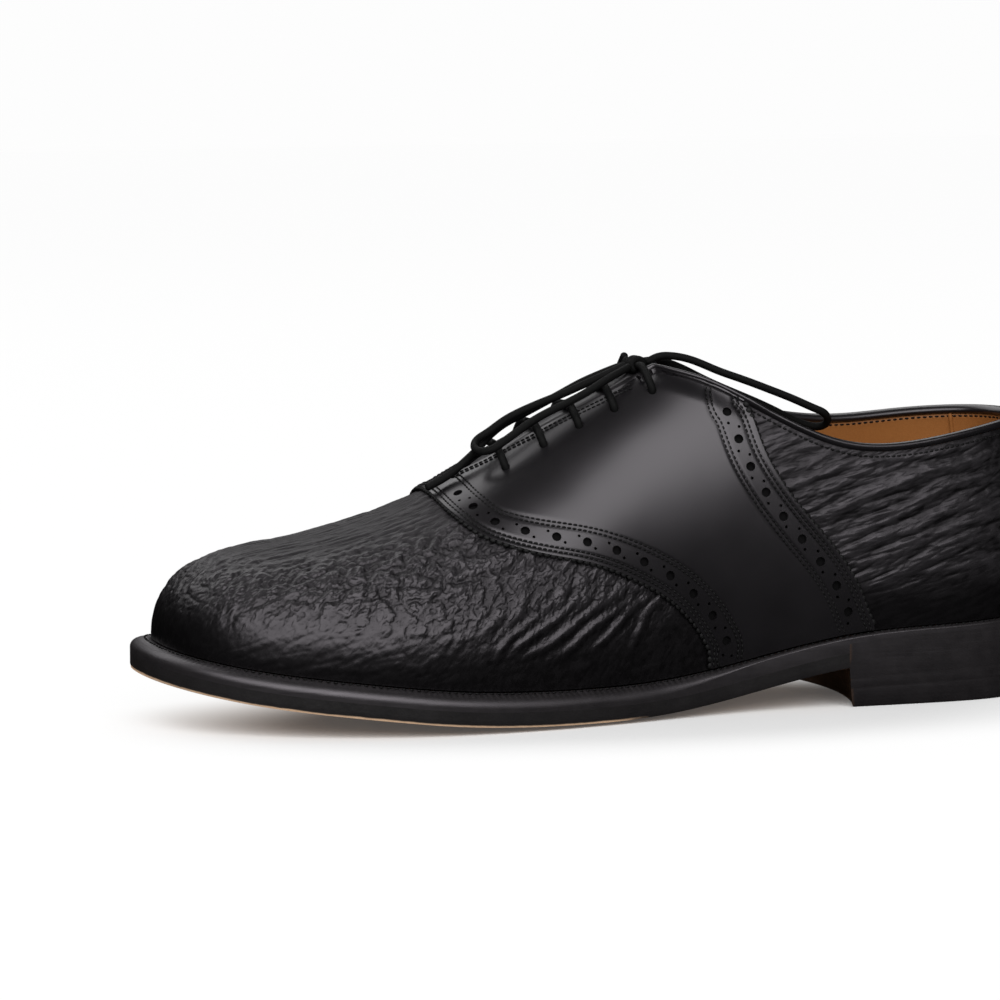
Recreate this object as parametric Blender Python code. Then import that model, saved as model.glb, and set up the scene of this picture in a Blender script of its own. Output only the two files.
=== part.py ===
"""Left saddle oxford, empty and standing on its sole.

Stations are measured from the back of the heel to the toe. The toe points to -X, the outer side of the
foot to -Y and up is +Z. The upper is a family of ribs: each rib is a cubic curve that rises from the
feather line, where the upper meets the welt, to the ridge over the middle of the last.
"""
import bmesh
import bpy
import numpy as np

# Driving sizes, in metres
SHOE_LENGTH = 0.306
BALL_WIDTH = 0.109
HEEL_BACK = 0.003
TOE_TIP = 0.298
TOE_SHIFT = 0.0055
TOE_FAN = 0.045
HEEL_FAN = 0.045
UPPER_WALL = 0.0020
GAP = 0.0003
OUTSOLE_THICK = 0.0050
WELT_THICK = 0.0051
OUTSOLE_CROWN = 0.0022
HEEL_LENGTH = 0.078
HEEL_TAPER = 0.0015
BREAST_HOLLOW = 0.006
WELT_ROUND = 0.0034
WELT_INNER = 0.0050
SADDLE_WALL = 0.0012
SADDLE_BACK = 0.050
THROAT = 0.208
FACING_TOP = 0.142
BINDING_END = 0.138
COLLAR_LOW = 0.075
INSOLE_ABOVE = 0.0025
INSOLE_INSET = 0.0028
BINDING_HIGH = 0.0028
BINDING_WIDE = 0.0042
TONGUE_THICK = 0.0020
TONGUE_CLEAR = 0.0007
TONGUE_LOW = 0.216
TONGUE_TOP = 0.133
TONGUE_HALF = 0.019
LACE = 0.0024
LACE_POINT_STEP = 0.006
KNOT_CENTRE = (0.1390, 0.0015, 0.1097)
KNOT_HALF = (0.0035, 0.0048, 0.0030)
BACK_END_START = (0.1408, 0.0070, 0.1123)

# Half widths of the feather line, from the shoe's axis
FEATHER_NAMES = ("station", "outer", "inner")
FEATHER_ROWS = (
    (0.010, 0.0200, 0.0195),
    (0.025, 0.0300, 0.0290),
    (0.050, 0.0338, 0.0325),
    (0.078, 0.0341, 0.0315),
    (0.110, 0.0345, 0.0285),
    (0.140, 0.0384, 0.0295),
    (0.170, 0.0445, 0.0355),
    (0.200, 0.0488, 0.0430),
    (0.220, 0.0497, 0.0465),
    (0.240, 0.0477, 0.0470),
    (0.260, 0.0423, 0.0445),
    (0.280, 0.0320, 0.0380),
    (0.292, 0.0198, 0.0290),
)

# How far the sole's edge stands out from the feather line
EDGE_NAMES = ("station", "outer", "inner")
EDGE_ROWS = (
    (0.000, 0.0025, 0.0025),
    (0.060, 0.0025, 0.0025),
    (0.090, 0.0033, 0.0026),
    (0.120, 0.0043, 0.0030),
    (0.160, 0.0058, 0.0042),
    (0.200, 0.0065, 0.0055),
    (0.250, 0.0066, 0.0060),
    (0.306, 0.0070, 0.0070),
)

# Height of the outsole's lower edge: heel pitch, arch, ball and toe spring
BOTTOM_NAMES = ("station", "height")
BOTTOM_ROWS = (
    (0.000, 0.0169),
    (0.040, 0.0152),
    (0.078, 0.0129),
    (0.110, 0.0068),
    (0.140, 0.0020),
    (0.170, 0.0010),
    (0.200, 0.0019),
    (0.215, 0.0030),
    (0.230, 0.0046),
    (0.250, 0.0069),
    (0.270, 0.0093),
    (0.290, 0.0126),
    (0.306, 0.0160),
)

# Ridge of the last: its height and its shift to the inner side; behind the throat it bounds the opening
RIDGE_NAMES = ("station", "height", "shift")
RIDGE_ROWS = (
    (0.040, 0.1360, 0.0000),
    (0.080, 0.1290, 0.0000),
    (0.110, 0.1210, 0.0010),
    (0.130, 0.1130, 0.0020),
    (0.153, 0.1010, 0.0030),
    (0.175, 0.0895, 0.0040),
    (0.200, 0.0752, 0.0045),
    (0.218, 0.0667, 0.0050),
    (0.235, 0.0612, 0.0050),
    (0.255, 0.0568, 0.0052),
    (0.275, 0.0555, 0.0055),
)

# Ribs: lean outwards at the feather line in radians, fullness of the wall and of the crown
RIB_NAMES = ("station", "outer_lean", "inner_lean", "outer_wall", "inner_wall", "outer_crown", "inner_crown")
RIB_ROWS = (
    (0.003, 0.14, 0.14, 0.45, 0.45, 0.60, 0.60),
    (0.060, 0.11, 0.11, 0.45, 0.45, 0.60, 0.60),
    (0.110, 0.14, 0.10, 0.45, 0.46, 0.60, 0.60),
    (0.160, 0.20, 0.12, 0.46, 0.50, 0.58, 0.58),
    (0.210, 0.22, 0.18, 0.50, 0.58, 0.58, 0.58),
    (0.250, 0.12, 0.12, 0.58, 0.62, 0.56, 0.57),
    (0.299, 0.02, 0.02, 0.72, 0.72, 0.52, 0.52),
)

# Height of the finished topline on both sides
COLLAR_NAMES = ("station", "outer", "inner")
COLLAR_ROWS = (
    (0.000, 0.0925, 0.0925),
    (0.020, 0.0909, 0.0915),
    (0.040, 0.0878, 0.0902),
    (0.061, 0.0853, 0.0890),
    (0.078, 0.0868, 0.0905),
    (0.097, 0.0946, 0.0960),
    (0.110, 0.1018, 0.1028),
    (0.120, 0.1068, 0.1072),
    (0.130, 0.1100, 0.1103),
    (0.145, 0.1135, 0.1138),
    (0.210, 0.1200, 0.1200),
)

# Half width of the throat's slit
SLIT_NAMES = ("station", "half")
SLIT_ROWS = (
    (0.040, 0.0088),
    (0.150, 0.0088),
    (0.175, 0.0086),
    (0.190, 0.0068),
    (0.200, 0.0036),
    (0.208, 0.0000),
)

# Saddle's edges seen from the side: front edge from the throat to the welt, rear edge from the topline
SADDLE_NAMES = ("station", "height")
SADDLE_FRONT_ROWS = (
    (0.2083, 0.0800),
    (0.2083, 0.0690),
    (0.2060, 0.0636),
    (0.2010, 0.0601),
    (0.1940, 0.0572),
    (0.1829, 0.0544),
    (0.1697, 0.0518),
    (0.1593, 0.0484),
    (0.1490, 0.0436),
    (0.1419, 0.0392),
    (0.1356, 0.0341),
    (0.1310, 0.0290),
    (0.1257, 0.0203),
    (0.1200, 0.0050),
)
SADDLE_REAR_ROWS = (
    (0.1105, 0.1250),
    (0.1080, 0.1020),
    (0.1054, 0.0918),
    (0.1030, 0.0839),
    (0.0980, 0.0721),
    (0.0894, 0.0601),
    (0.0824, 0.0511),
    (0.0776, 0.0441),
    (0.0741, 0.0375),
    (0.0712, 0.0305),
    (0.0650, 0.0050),
)

# Places of the lace on the saddle: station and distance from the ridge
LACE_NAMES = ("station", "off_ridge")
EYELET_ROWS = (
    (0.1852, 0.0180),
    (0.1729, 0.0168),
    (0.1614, 0.0160),
    (0.1500, 0.0157),
    (0.1378, 0.0152),
)
BACK_END_ROWS = (
    (0.1412, 0.0090),
    (0.1416, 0.0120),
    (0.1412, 0.0148),
    (0.1404, 0.0172),
    (0.1400, 0.0192),
    (0.1404, 0.0210),
    (0.1415, 0.0224),
)

# Routes of the bow, each from the knot: station, y and height of the lace's middle
FRONT_LOOP = (
    (0.1432, -0.0003, 0.1098),
    (0.1510, -0.0010, 0.1066),
    (0.1580, -0.0016, 0.1039),
    (0.1650, -0.0020, 0.1012),
    (0.1720, -0.0025, 0.0988),
    (0.1790, -0.0030, 0.0962),
    (0.1850, -0.0036, 0.0934),
    (0.1915, -0.0042, 0.0893),
    (0.1937, -0.0044, 0.0880),
    (0.1953, -0.0058, 0.0866),
    (0.1959, -0.0080, 0.0854),
    (0.1953, -0.0104, 0.0847),
    (0.1937, -0.0124, 0.0848),
    (0.1915, -0.0134, 0.0856),
    (0.1875, -0.0133, 0.0880),
    (0.1847, -0.0128, 0.0897),
    (0.1790, -0.0119, 0.0932),
    (0.1715, -0.0110, 0.0969),
    (0.1645, -0.0102, 0.0998),
    (0.1575, -0.0093, 0.1031),
    (0.1515, -0.0079, 0.1062),
    (0.1465, -0.0060, 0.1083),
    (0.1430, -0.0042, 0.1096),
)
FRONT_END = (
    (0.1430, 0.0042, 0.1092),
    (0.1465, 0.0045, 0.1080),
    (0.1500, 0.0046, 0.1067),
    (0.1565, 0.0046, 0.1041),
    (0.1630, 0.0045, 0.1009),
    (0.1700, 0.0043, 0.0975),
    (0.1770, 0.0036, 0.0943),
    (0.1825, 0.0022, 0.0920),
    (0.1870, 0.0002, 0.0896),
    (0.1910, -0.0022, 0.0869),
    (0.1945, -0.0038, 0.0838),
    (0.1975, -0.0043, 0.0813),
    (0.2000, -0.0046, 0.0793),
    (0.2053, -0.0050, 0.0757),
    (0.2110, -0.0056, 0.0730),
)
BACK_LOOP = (
    (0.1350, 0.0000, 0.1108),
    (0.1320, -0.0010, 0.1124),
    (0.1280, -0.0020, 0.1127),
    (0.1210, -0.0040, 0.1112),
    (0.1135, -0.0062, 0.1080),
    (0.1060, -0.0085, 0.1052),
    (0.0970, -0.0105, 0.1017),
    (0.0890, -0.0122, 0.0984),
    (0.0815, -0.0136, 0.0950),
    (0.0793, -0.0137, 0.0939),
    (0.0777, -0.0128, 0.0922),
    (0.0771, -0.0111, 0.0905),
    (0.0777, -0.0091, 0.0892),
    (0.0793, -0.0073, 0.0886),
    (0.0815, -0.0062, 0.0889),
    (0.0930, -0.0048, 0.0940),
    (0.1050, -0.0035, 0.0995),
    (0.1170, -0.0010, 0.1050),
    (0.1270, 0.0020, 0.1098),
    (0.1330, 0.0034, 0.1108),
    (0.1352, 0.0037, 0.1106),
)

OUTER, INNER = -1, 1
SIDE_NAMES = {OUTER: "outer", INNER: "inner"}
UPPER_ROWS = 10
HEEL_COLUMNS, QUARTER_COLUMNS, FACING_COLUMNS, TOE_COLUMNS = 9, 11, 9, 13
SOLE_ACROSS = 6
TONGUE_ROWS = 5
BINDING_SIDES = 6
STRAND_POINTS = 4
OUTLINE_FINE = 3
CUTTER_HALF = 0.09
WELT_TURNS = (35, 65, 90)
FOOT_MARGIN = 0.004
RIDGE_MARGIN = 0.006
NORMAL_LIMIT = 0.985
TRIES = 500
STEP = 1e-4
WELD = 0.00015
END_SHARE = 0.01

BLACK_CALF = (0.012, 0.012, 0.013)
BLACK_GRAIN = (0.014, 0.014, 0.015)
BLACK_EDGE = (0.010, 0.010, 0.011)
TAN = (0.42, 0.20, 0.07)

# Colour and roughness of each finish
FINISHES = {
    "outsole_leather": (TAN, 0.6),
    "heel_stack": (BLACK_EDGE, 0.4),
    "welt_leather": (BLACK_EDGE, 0.35),
    "upper_grain": (BLACK_GRAIN, 0.5),
    "saddle_calf": (BLACK_CALF, 0.3),
    "tongue_leather": (BLACK_CALF, 0.5),
    "insole_leather": (TAN, 0.6),
    "binding_calf": (BLACK_CALF, 0.35),
    "lace_cord": (BLACK_EDGE, 0.5),
}


def columns(names, rows):
    """Rows of a table as arrays under the names of their columns."""
    return dict(zip(names, np.array(rows, float).T))


def spline(knots, values):
    """Smooth curve through values at knots, with straight ends."""
    knots = np.asarray(knots, float)
    values = np.asarray(values, float)
    count = len(knots)
    spans = np.diff(knots)
    shape = (-1,) + (1,) * (values.ndim - 1)
    slopes = np.diff(values, axis=0) / spans.reshape(shape)
    system = np.eye(count)
    right = np.zeros_like(values)
    for i in range(1, count - 1):
        system[i, i - 1:i + 2] = spans[i - 1], 2 * (spans[i - 1] + spans[i]), spans[i]
        right[i] = 6 * (slopes[i] - slopes[i - 1])
    bends = np.linalg.solve(system, right)

    def at(place):
        place = np.clip(place, knots[0], knots[-1])
        k = np.clip(np.searchsorted(knots, place, side="right") - 1, 0, count - 2)
        span = spans[k]
        b = (place - knots[k]) / span
        if values.ndim > 1:
            b, span = b[..., None], span[..., None]
        a = 1 - b
        curve = (a ** 3 - a) * bends[k] + (b ** 3 - b) * bends[k + 1]
        return a * values[k] + b * values[k + 1] + curve * span ** 2 / 6

    return at


def table_spline(names, rows):
    """One smooth curve for each column of a table but the first, over the first."""
    table = columns(names, rows)
    return {name: spline(table[names[0]], table[name]) for name in names[1:]}


def table_rows(names, rows):
    """Rows of a table one after another, in the order of the named columns."""
    return np.column_stack(list(columns(names, rows).values()))


EDGE = table_spline(EDGE_NAMES, EDGE_ROWS)
BOTTOM = table_spline(BOTTOM_NAMES, BOTTOM_ROWS)["height"]
RIDGE = table_spline(RIDGE_NAMES, RIDGE_ROWS)
RIB = table_spline(RIB_NAMES, RIB_ROWS)
COLLAR = table_spline(COLLAR_NAMES, COLLAR_ROWS)
SLIT = columns(SLIT_NAMES, SLIT_ROWS)


def feather_curve():
    """Feather line as a function of side and t, from the heel's back (0) to the toe's tip (1)."""
    table = columns(FEATHER_NAMES, FEATHER_ROWS)
    outer = np.column_stack([table["station"], -table["outer"]])
    inner = np.column_stack([table["station"], table["inner"]])
    loop = np.vstack([[(HEEL_BACK, 0.0)], outer, [(TOE_TIP, TOE_SHIFT)], inner[::-1]])
    wrap = 4
    ring = np.vstack([loop[-wrap:], loop, loop[:wrap + 1]])
    chords = np.concatenate([[0], np.cumsum(np.hypot(*np.diff(ring, axis=0).T))])
    curve = spline(chords, ring)
    toe = chords[wrap + len(outer) + 1]
    heels = {OUTER: chords[wrap], INNER: chords[wrap + len(loop)]}

    def at(side, t):
        return curve(heels[side] + np.asarray(t, float) * (toe - heels[side]))

    return at


feather = feather_curve()


def sole_line(side, t, out):
    """Feather line moved outwards by a distance, or inwards by a negative one."""
    t = np.asarray(t, float)
    along = feather(side, t + STEP) - feather(side, t - STEP)
    along /= np.linalg.norm(along, axis=-1, keepdims=True)
    normal = side * np.stack([-along[..., 1], along[..., 0]], -1)
    return feather(side, t) + normal * np.broadcast_to(out, t.shape)[..., None]


def sole_edge(side, t):
    """Edge of the sole in plan."""
    station = feather(side, t)[..., 0]
    return sole_line(side, t, EDGE[SIDE_NAMES[side]](station))


def seat_height(station):
    """Height of the feather line above the floor."""
    return BOTTOM(station) + OUTSOLE_THICK + GAP + WELT_THICK


def apex_station(t):
    """Station on the ridge where the ribs at t end; the ribs fan out round toe and heel."""
    middle = (feather(OUTER, t)[..., 0] + feather(INNER, t)[..., 0]) / 2
    toe = TOE_TIP - middle
    heel = middle - HEEL_BACK
    return middle - (np.hypot(toe, TOE_FAN) - toe) + (np.hypot(heel, HEEL_FAN) - heel)


def rib(side, t, v):
    """Point of the upper's outer surface, as station, y and height, at v from feather line to ridge."""
    name = SIDE_NAMES[side]
    foot = feather(side, t)
    station, y = foot[..., 0], foot[..., 1]
    seat = seat_height(station) + GAP
    apex = apex_station(t)
    high = RIDGE["height"](apex)
    shift = RIDGE["shift"](apex)
    slope = (RIDGE["height"](apex + STEP) - RIDGE["height"](apex - STEP)) / (2 * STEP)
    reach = np.hypot(apex - station, shift - y)
    along, across = (apex - station) / reach, (shift - y) / reach
    lean = RIB[name + "_lean"](station)
    rise = RIB[name + "_wall"](station) * (high - seat)
    crown = RIB[name + "_crown"](station) * reach
    start = np.stack([station, y, seat], -1)
    upwards = np.stack([-along * np.sin(lean), -across * np.sin(lean), np.cos(lean)], -1)
    wall = start + upwards * rise[..., None]
    end = np.stack([apex, shift, high], -1)
    shoulder = end - np.stack([along, across, slope * along], -1) * crown[..., None]
    v = np.asarray(v, float)[..., None]
    u = 1 - v
    return u ** 3 * start + 3 * u ** 2 * v * wall + 3 * u * v ** 2 * shoulder + v ** 3 * end


def rib_normal(side, t, v):
    """Outward normal of the upper's surface, as station, y and height."""
    v = np.minimum(v, NORMAL_LIMIT)
    round_foot = rib(side, t + STEP, v) - rib(side, t - STEP, v)
    upwards = rib(side, t, v + STEP) - rib(side, t, v - STEP)
    normal = -side * np.cross(round_foot, upwards)
    return normal / np.linalg.norm(normal, axis=-1, keepdims=True)


def rim(side, t):
    """Value of v at the upper's top edge: topline, facing edge, or 1 where the vamp is closed."""
    tries = np.linspace(END_SHARE, 1, TRIES)
    heights = COLLAR[SIDE_NAMES[side]]
    tops = np.ones(len(t))
    for i, place in enumerate(t):
        if apex_station(place) >= THROAT - STEP:
            continue
        points = rib(side, np.full_like(tries, place), tries)
        over = points[:, 2] - (heights(points[:, 0]) - BINDING_HIGH)
        apart = np.abs(points[:, 1] - RIDGE["shift"](points[:, 0]))
        inside = np.interp(points[:, 0], SLIT["station"], SLIT["half"]) - apart
        past = np.where(points[:, 0] > COLLAR_LOW, np.maximum(over, inside), over)
        first = int(np.argmax(past >= 0))
        share = -past[first - 1] / (past[first] - past[first - 1])
        tops[i] = tries[first - 1] + share * (tries[first] - tries[first - 1])
    return tops


def place_at(station):
    """Value of t whose ribs end at a station of the ridge."""
    tries = np.linspace(0, 1, TRIES)
    return float(np.interp(station, apex_station(tries), tries))


def beside_ridge(side, t, distance):
    """Value of v on the rib at t where the surface lies at a distance beside the ridge."""
    tries = np.linspace(0, 1, TRIES)
    points = rib(side, np.full_like(tries, t), tries)
    apart = np.abs(points[:, 1] - points[-1, 1])
    widest = int(np.argmax(apart))
    return float(np.interp(-distance, -apart[widest:], tries[widest:]))


def column_places():
    """Places of the ribs that are drawn, closer together at the corner of facing and topline."""
    stops = [0.0, place_at(COLLAR_LOW), place_at(FACING_TOP), place_at(THROAT), 1.0]
    counts = (HEEL_COLUMNS, QUARTER_COLUMNS, FACING_COLUMNS, TOE_COLUMNS)
    runs = [np.linspace(a, b, n, endpoint=False) for a, b, n in zip(stops, stops[1:], counts)]
    return np.concatenate(runs + [[1.0]])


PLACES = column_places()
RIMS = {side: rim(side, PLACES) for side in (OUTER, INNER)}
SOLE_PLAN = np.vstack([sole_edge(side, PLACES) for side in (OUTER, INNER)])
MIDDLE = (SOLE_PLAN.min(axis=0) + SOLE_PLAN.max(axis=0)) / 2


def to_world(points):
    """Station, y and height as x, y and z, with the sole's middle over the origin."""
    points = np.array(points, float)
    points[..., 0] = MIDDLE[0] - points[..., 0]
    points[..., 1] -= MIDDLE[1]
    return points


def rib_grid(side, picked, low, high, rows, out):
    """Grid of points on the drawn ribs, between two values of v for each rib, moved out along the normal."""
    t = np.repeat(PLACES[picked][:, None], rows + 1, axis=1)
    v = low[:, None] + (high - low)[:, None] * np.linspace(0, 1, rows + 1)
    normal = rib_normal(side, t, v)
    middle = v > 1 - STEP
    normal[middle] += rib_normal(-side, t, v)[middle]
    normal /= np.linalg.norm(normal, axis=-1, keepdims=True)
    return rib(side, t, v) + normal * out


def material(name):
    """Finish with the colour and roughness of one piece."""
    colour, roughness = FINISHES[name]
    finish = bpy.data.materials.new(name)
    finish.use_nodes = True
    shader = finish.node_tree.nodes["Principled BSDF"]
    shader.inputs["Base Color"].default_value = (*colour, 1.0)
    shader.inputs["Roughness"].default_value = roughness
    return finish


def add_mesh(name, points, faces, finish):
    """New object from points and faces, welded, with its faces pointing out."""
    mesh = bpy.data.meshes.new(name)
    mesh.from_pydata([tuple(p) for p in to_world(points)], [], faces)
    work = bmesh.new()
    work.from_mesh(mesh)
    bmesh.ops.remove_doubles(work, verts=work.verts, dist=WELD)
    bmesh.ops.recalc_face_normals(work, faces=work.faces)
    work.to_mesh(mesh)
    work.free()
    mesh.shade_smooth()
    mesh.materials.append(finish)
    thing = bpy.data.objects.new(name, mesh)
    bpy.context.scene.collection.objects.link(thing)
    return thing


def shell(name, outside, inside, finish, ring=False, sealed=None):
    """Closed wall between two grids; a ring joins its last column to its first, sealed ones have no rim."""
    count, rows = outside.shape[:2]
    total = count * rows
    points = np.vstack([outside.reshape(-1, 3), inside.reshape(-1, 3)])
    faces = []
    for i in range(count if ring else count - 1):
        a, b = i * rows, (i + 1) % count * rows
        for j in range(rows - 1):
            for half in ((a + j, b + j, b + j + 1), (a + j, b + j + 1, a + j + 1)):
                faces.append(half)
                faces.append(tuple(total + k for k in reversed(half)))
        faces.append((a, total + a, total + b, b))
        if sealed is None or not (sealed[i] and sealed[(i + 1) % count]):
            top, next_top = a + rows - 1, b + rows - 1
            faces.append((top, next_top, total + next_top, total + top))
    if not ring:
        for a in (0, (count - 1) * rows):
            faces += [(a + j, a + j + 1, total + a + j + 1, total + a + j) for j in range(rows - 1)]
    return add_mesh(name, points, faces, finish)


def sweep(name, sections, finish, ring=False):
    """Closed tube through sections of equal point count, joined end to end or capped."""
    count, sides = sections.shape[:2]
    faces = []
    for i in range(count if ring else count - 1):
        a, b = i * sides, (i + 1) % count * sides
        faces += [(a + j, b + j, b + (j + 1) % sides, a + (j + 1) % sides) for j in range(sides)]
    if not ring:
        faces.append(tuple(range(sides)))
        faces.append(tuple((count - 1) * sides + j for j in range(sides)))
    return add_mesh(name, sections.reshape(-1, 3), faces, finish)


def with_height(plan, heights):
    """Plan points with their heights as a third column."""
    return np.concatenate([plan, np.asarray(heights, float)[..., None]], -1)


def across(outer, inner, count):
    """Rows of points from the outer line to the inner line."""
    share = np.linspace(0, 1, count + 1)[None, :, None]
    return outer[:, None] * (1 - share) + inner[:, None] * share


def underside(plan):
    """Lower face of the outsole: a little round across, flat where it stands on the floor."""
    bow = 1 - np.linspace(-1, 1, plan.shape[1]) ** 2
    width = np.ptp(plan[..., 1], axis=1)[:, None]
    return np.maximum(BOTTOM(plan[..., 0]) - OUTSOLE_CROWN * bow * (width / BALL_WIDTH) ** 2, 0)


def make_outsole():
    """Leather outsole from heel to toe."""
    t = np.concatenate([[END_SHARE], PLACES[1:-1], [1 - END_SHARE]])
    plan = across(sole_edge(OUTER, t), sole_edge(INNER, t), SOLE_ACROSS)
    top = with_height(plan, BOTTOM(plan[..., 0]) + OUTSOLE_THICK)
    bottom = with_height(plan, underside(plan))
    return shell("outsole", top, bottom, material("outsole_leather"))


def make_heel():
    """Heel block under the back of the outsole, with a hollow breast."""
    tries = np.linspace(0, 0.5, TRIES)
    front = np.interp(HEEL_LENGTH, feather(OUTER, tries)[:, 0], tries)
    between = (PLACES > END_SHARE) & (PLACES < front - END_SHARE)
    t = np.concatenate([[END_SHARE], PLACES[between], [front]])
    plan = across(sole_edge(OUTER, t), sole_edge(INNER, t), SOLE_ACROSS)
    hollow = BREAST_HOLLOW * np.linspace(0, 1, len(t))[:, None] ** 4
    plan[..., 0] -= hollow * (1 - np.linspace(-1, 1, SOLE_ACROSS + 1) ** 2)
    top = with_height(plan, underside(plan) - 2 * GAP)
    middle = np.array([HEEL_LENGTH / 2, 0.0])
    foot_plan = middle + (plan - middle) * (1 - HEEL_TAPER / np.abs(plan[..., 1]).max())
    foot_plan[-1] = plan[-1]
    foot_plan[-1, :, 1] = foot_plan[-2, :, 1]
    foot = with_height(foot_plan, np.zeros(plan.shape[:2]))
    return shell("heel", top, foot, material("heel_stack"))


def make_welt():
    """Welt round the shoe: flat under the upper, rounded towards the sole's edge."""
    sections = []
    for side, order in ((OUTER, PLACES), (INNER, PLACES[-2:0:-1])):
        margin = EDGE[SIDE_NAMES[side]](feather(side, order)[..., 0])
        profile = [(-WELT_INNER, 0.0), (-WELT_INNER, WELT_THICK), (0.0, WELT_THICK)]
        for turn in np.radians(WELT_TURNS):
            profile.append((np.sin(turn), WELT_THICK - WELT_ROUND * (1 - np.cos(turn))))
        profile.append((1.0, 0.0))
        ring = []
        for out, lift in profile:
            distance = out * margin if out > 0 else np.full_like(margin, out)
            plan = sole_line(side, order, distance)
            ring.append(with_height(plan, BOTTOM(plan[..., 0]) + OUTSOLE_THICK + GAP + lift))
        sections.append(np.stack(ring, 1))
    return sweep("welt", np.vstack(sections), material("welt_leather"), ring=True)


def make_upper():
    """Vamp, quarters and back as one hollow wall over the last."""
    zero = np.zeros_like(PLACES)
    walls = []
    for out in (0.0, -UPPER_WALL):
        outer = rib_grid(OUTER, slice(None), zero, RIMS[OUTER], UPPER_ROWS, out)
        inner = rib_grid(INNER, slice(None), zero, RIMS[INNER], UPPER_ROWS, out)
        walls.append(np.vstack([outer, inner[-2:0:-1]]))
    closed = RIMS[OUTER] > 1 - STEP
    sealed = np.concatenate([closed, closed[-2:0:-1]])
    return shell("upper", *walls, material("upper_grain"), ring=True, sealed=sealed)


def make_cutter():
    """Prism with the saddle's outline seen from the side."""
    edges = []
    for rows in (SADDLE_FRONT_ROWS, SADDLE_REAR_ROWS[::-1]):
        table = table_rows(SADDLE_NAMES, rows)
        share = np.linspace(0, 1, len(table))
        edges.append(spline(share, table)(np.linspace(0, 1, OUTLINE_FINE * len(table))))
    station, height = np.vstack(edges).T
    ends = [np.column_stack([station, np.full_like(station, y), height]) for y in (-CUTTER_HALF, CUTTER_HALF)]
    cutter = sweep("saddle_outline", np.stack(ends), material("saddle_calf"))
    cutter.hide_render = True
    cutter.display_type = "WIRE"
    return cutter


def make_saddle(side, cutter):
    """Saddle on one side: a shell over the upper's own ribs, cut to the saddle's outline."""
    picked = (PLACES > place_at(SADDLE_BACK)) & (PLACES <= place_at(THROAT) + STEP)
    low = np.full(picked.sum(), FOOT_MARGIN)
    high = np.minimum(RIMS[side][picked], 1 - RIDGE_MARGIN)
    outs = (GAP + SADDLE_WALL, GAP)
    walls = [rib_grid(side, picked, low, high, UPPER_ROWS, out)[::-side] for out in outs]
    saddle = shell("saddle_" + SIDE_NAMES[side], *walls, material("saddle_calf"))
    cut = saddle.modifiers.new("outline", "BOOLEAN")
    cut.operation = "INTERSECT"
    cut.object = cutter
    return saddle


def make_tongue():
    """Tongue under the facings, following the ribs across the ridge."""
    picked = (PLACES >= place_at(TONGUE_TOP)) & (PLACES <= place_at(TONGUE_LOW))
    top = np.ones(picked.sum())
    walls = []
    for depth in (0.0, TONGUE_THICK):
        halves = []
        for side in (OUTER, INNER):
            low = np.array([beside_ridge(side, place, TONGUE_HALF) for place in PLACES[picked]])
            out = -UPPER_WALL - TONGUE_CLEAR - depth
            halves.append(rib_grid(side, picked, low, top, TONGUE_ROWS, out))
        walls.append(np.concatenate([halves[0], halves[1][:, -2::-1]], axis=1))
    return shell("tongue", *walls, material("tongue_leather"))


def make_insole():
    """Insole inside the upper, its lower part between the welt's inner edges."""
    t = np.concatenate([[END_SHARE], PLACES[1:-1], [1 - END_SHARE]])
    rows = []
    core = WELT_INNER + 2 * GAP
    levels = ((core, -WELT_THICK), (core, GAP), (INSOLE_INSET, GAP), (INSOLE_INSET, INSOLE_ABOVE))
    for side, order in ((OUTER, levels), (INNER, levels[::-1])):
        for inset, lift in order:
            plan = sole_line(side, t, -inset)
            rows.append(with_height(plan, seat_height(plan[..., 0]) + lift))
    return sweep("insole", np.stack(rows, 1), material("insole_leather"))


def make_binding():
    """Rolled binding on the topline, from the outer facing round the heel to the inner facing."""
    sections = []
    corner = place_at(BINDING_END)
    for side in (INNER, OUTER):
        picked = np.flatnonzero(PLACES <= corner)
        order = picked[:0:-1] if side == INNER else picked
        t, v = PLACES[order], RIMS[side][order]
        edge = rib(side, t, v)
        out = rib_normal(side, t, v)
        up = rib(side, t, v + STEP) - rib(side, t, v - STEP)
        up /= np.linalg.norm(up, axis=-1, keepdims=True)
        centre = edge + up * (BINDING_HIGH / 2 + GAP)
        ring = []
        for turn in np.linspace(0, 2 * np.pi, BINDING_SIDES, endpoint=False):
            ring.append(centre + out * np.cos(turn) * BINDING_WIDE / 2 + up * np.sin(turn) * BINDING_HIGH / 2)
        sections.append(np.stack(ring, 1))
    return sweep("collar_binding", np.vstack(sections), material("binding_calf"))


def smooth_route(points):
    """Points read at even steps from a smooth curve through a route."""
    points = np.array(points, float)
    chords = np.concatenate([[0], np.cumsum(np.linalg.norm(np.diff(points, axis=0), axis=1))])
    count = max(2, round(chords[-1] / LACE_POINT_STEP))
    return spline(chords, points)(np.linspace(0, chords[-1], count + 1))


def make_tube(name, points, finish):
    """Round lace along points given as station, y and height."""
    curve = bpy.data.curves.new(name, "CURVE")
    curve.dimensions = "3D"
    curve.bevel_depth = LACE / 2
    curve.bevel_resolution = 2
    curve.use_fill_caps = True
    line = curve.splines.new("POLY")
    line.points.add(len(points) - 1)
    for knot, place in zip(line.points, to_world(points)):
        knot.co = (*place, 1.0)
    curve.materials.append(finish)
    thing = bpy.data.objects.new(name, curve)
    bpy.context.scene.collection.objects.link(thing)
    return thing


def lace_over(side, station, distance):
    """Point of the lace's middle lying on the saddle, at a distance from the ridge."""
    t = np.array(place_at(station))
    v = np.array(beside_ridge(side, t, distance))
    lift = GAP + SADDLE_WALL + 2 * GAP + LACE / 2
    return rib(side, t, v) + rib_normal(side, t, v) * lift


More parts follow.
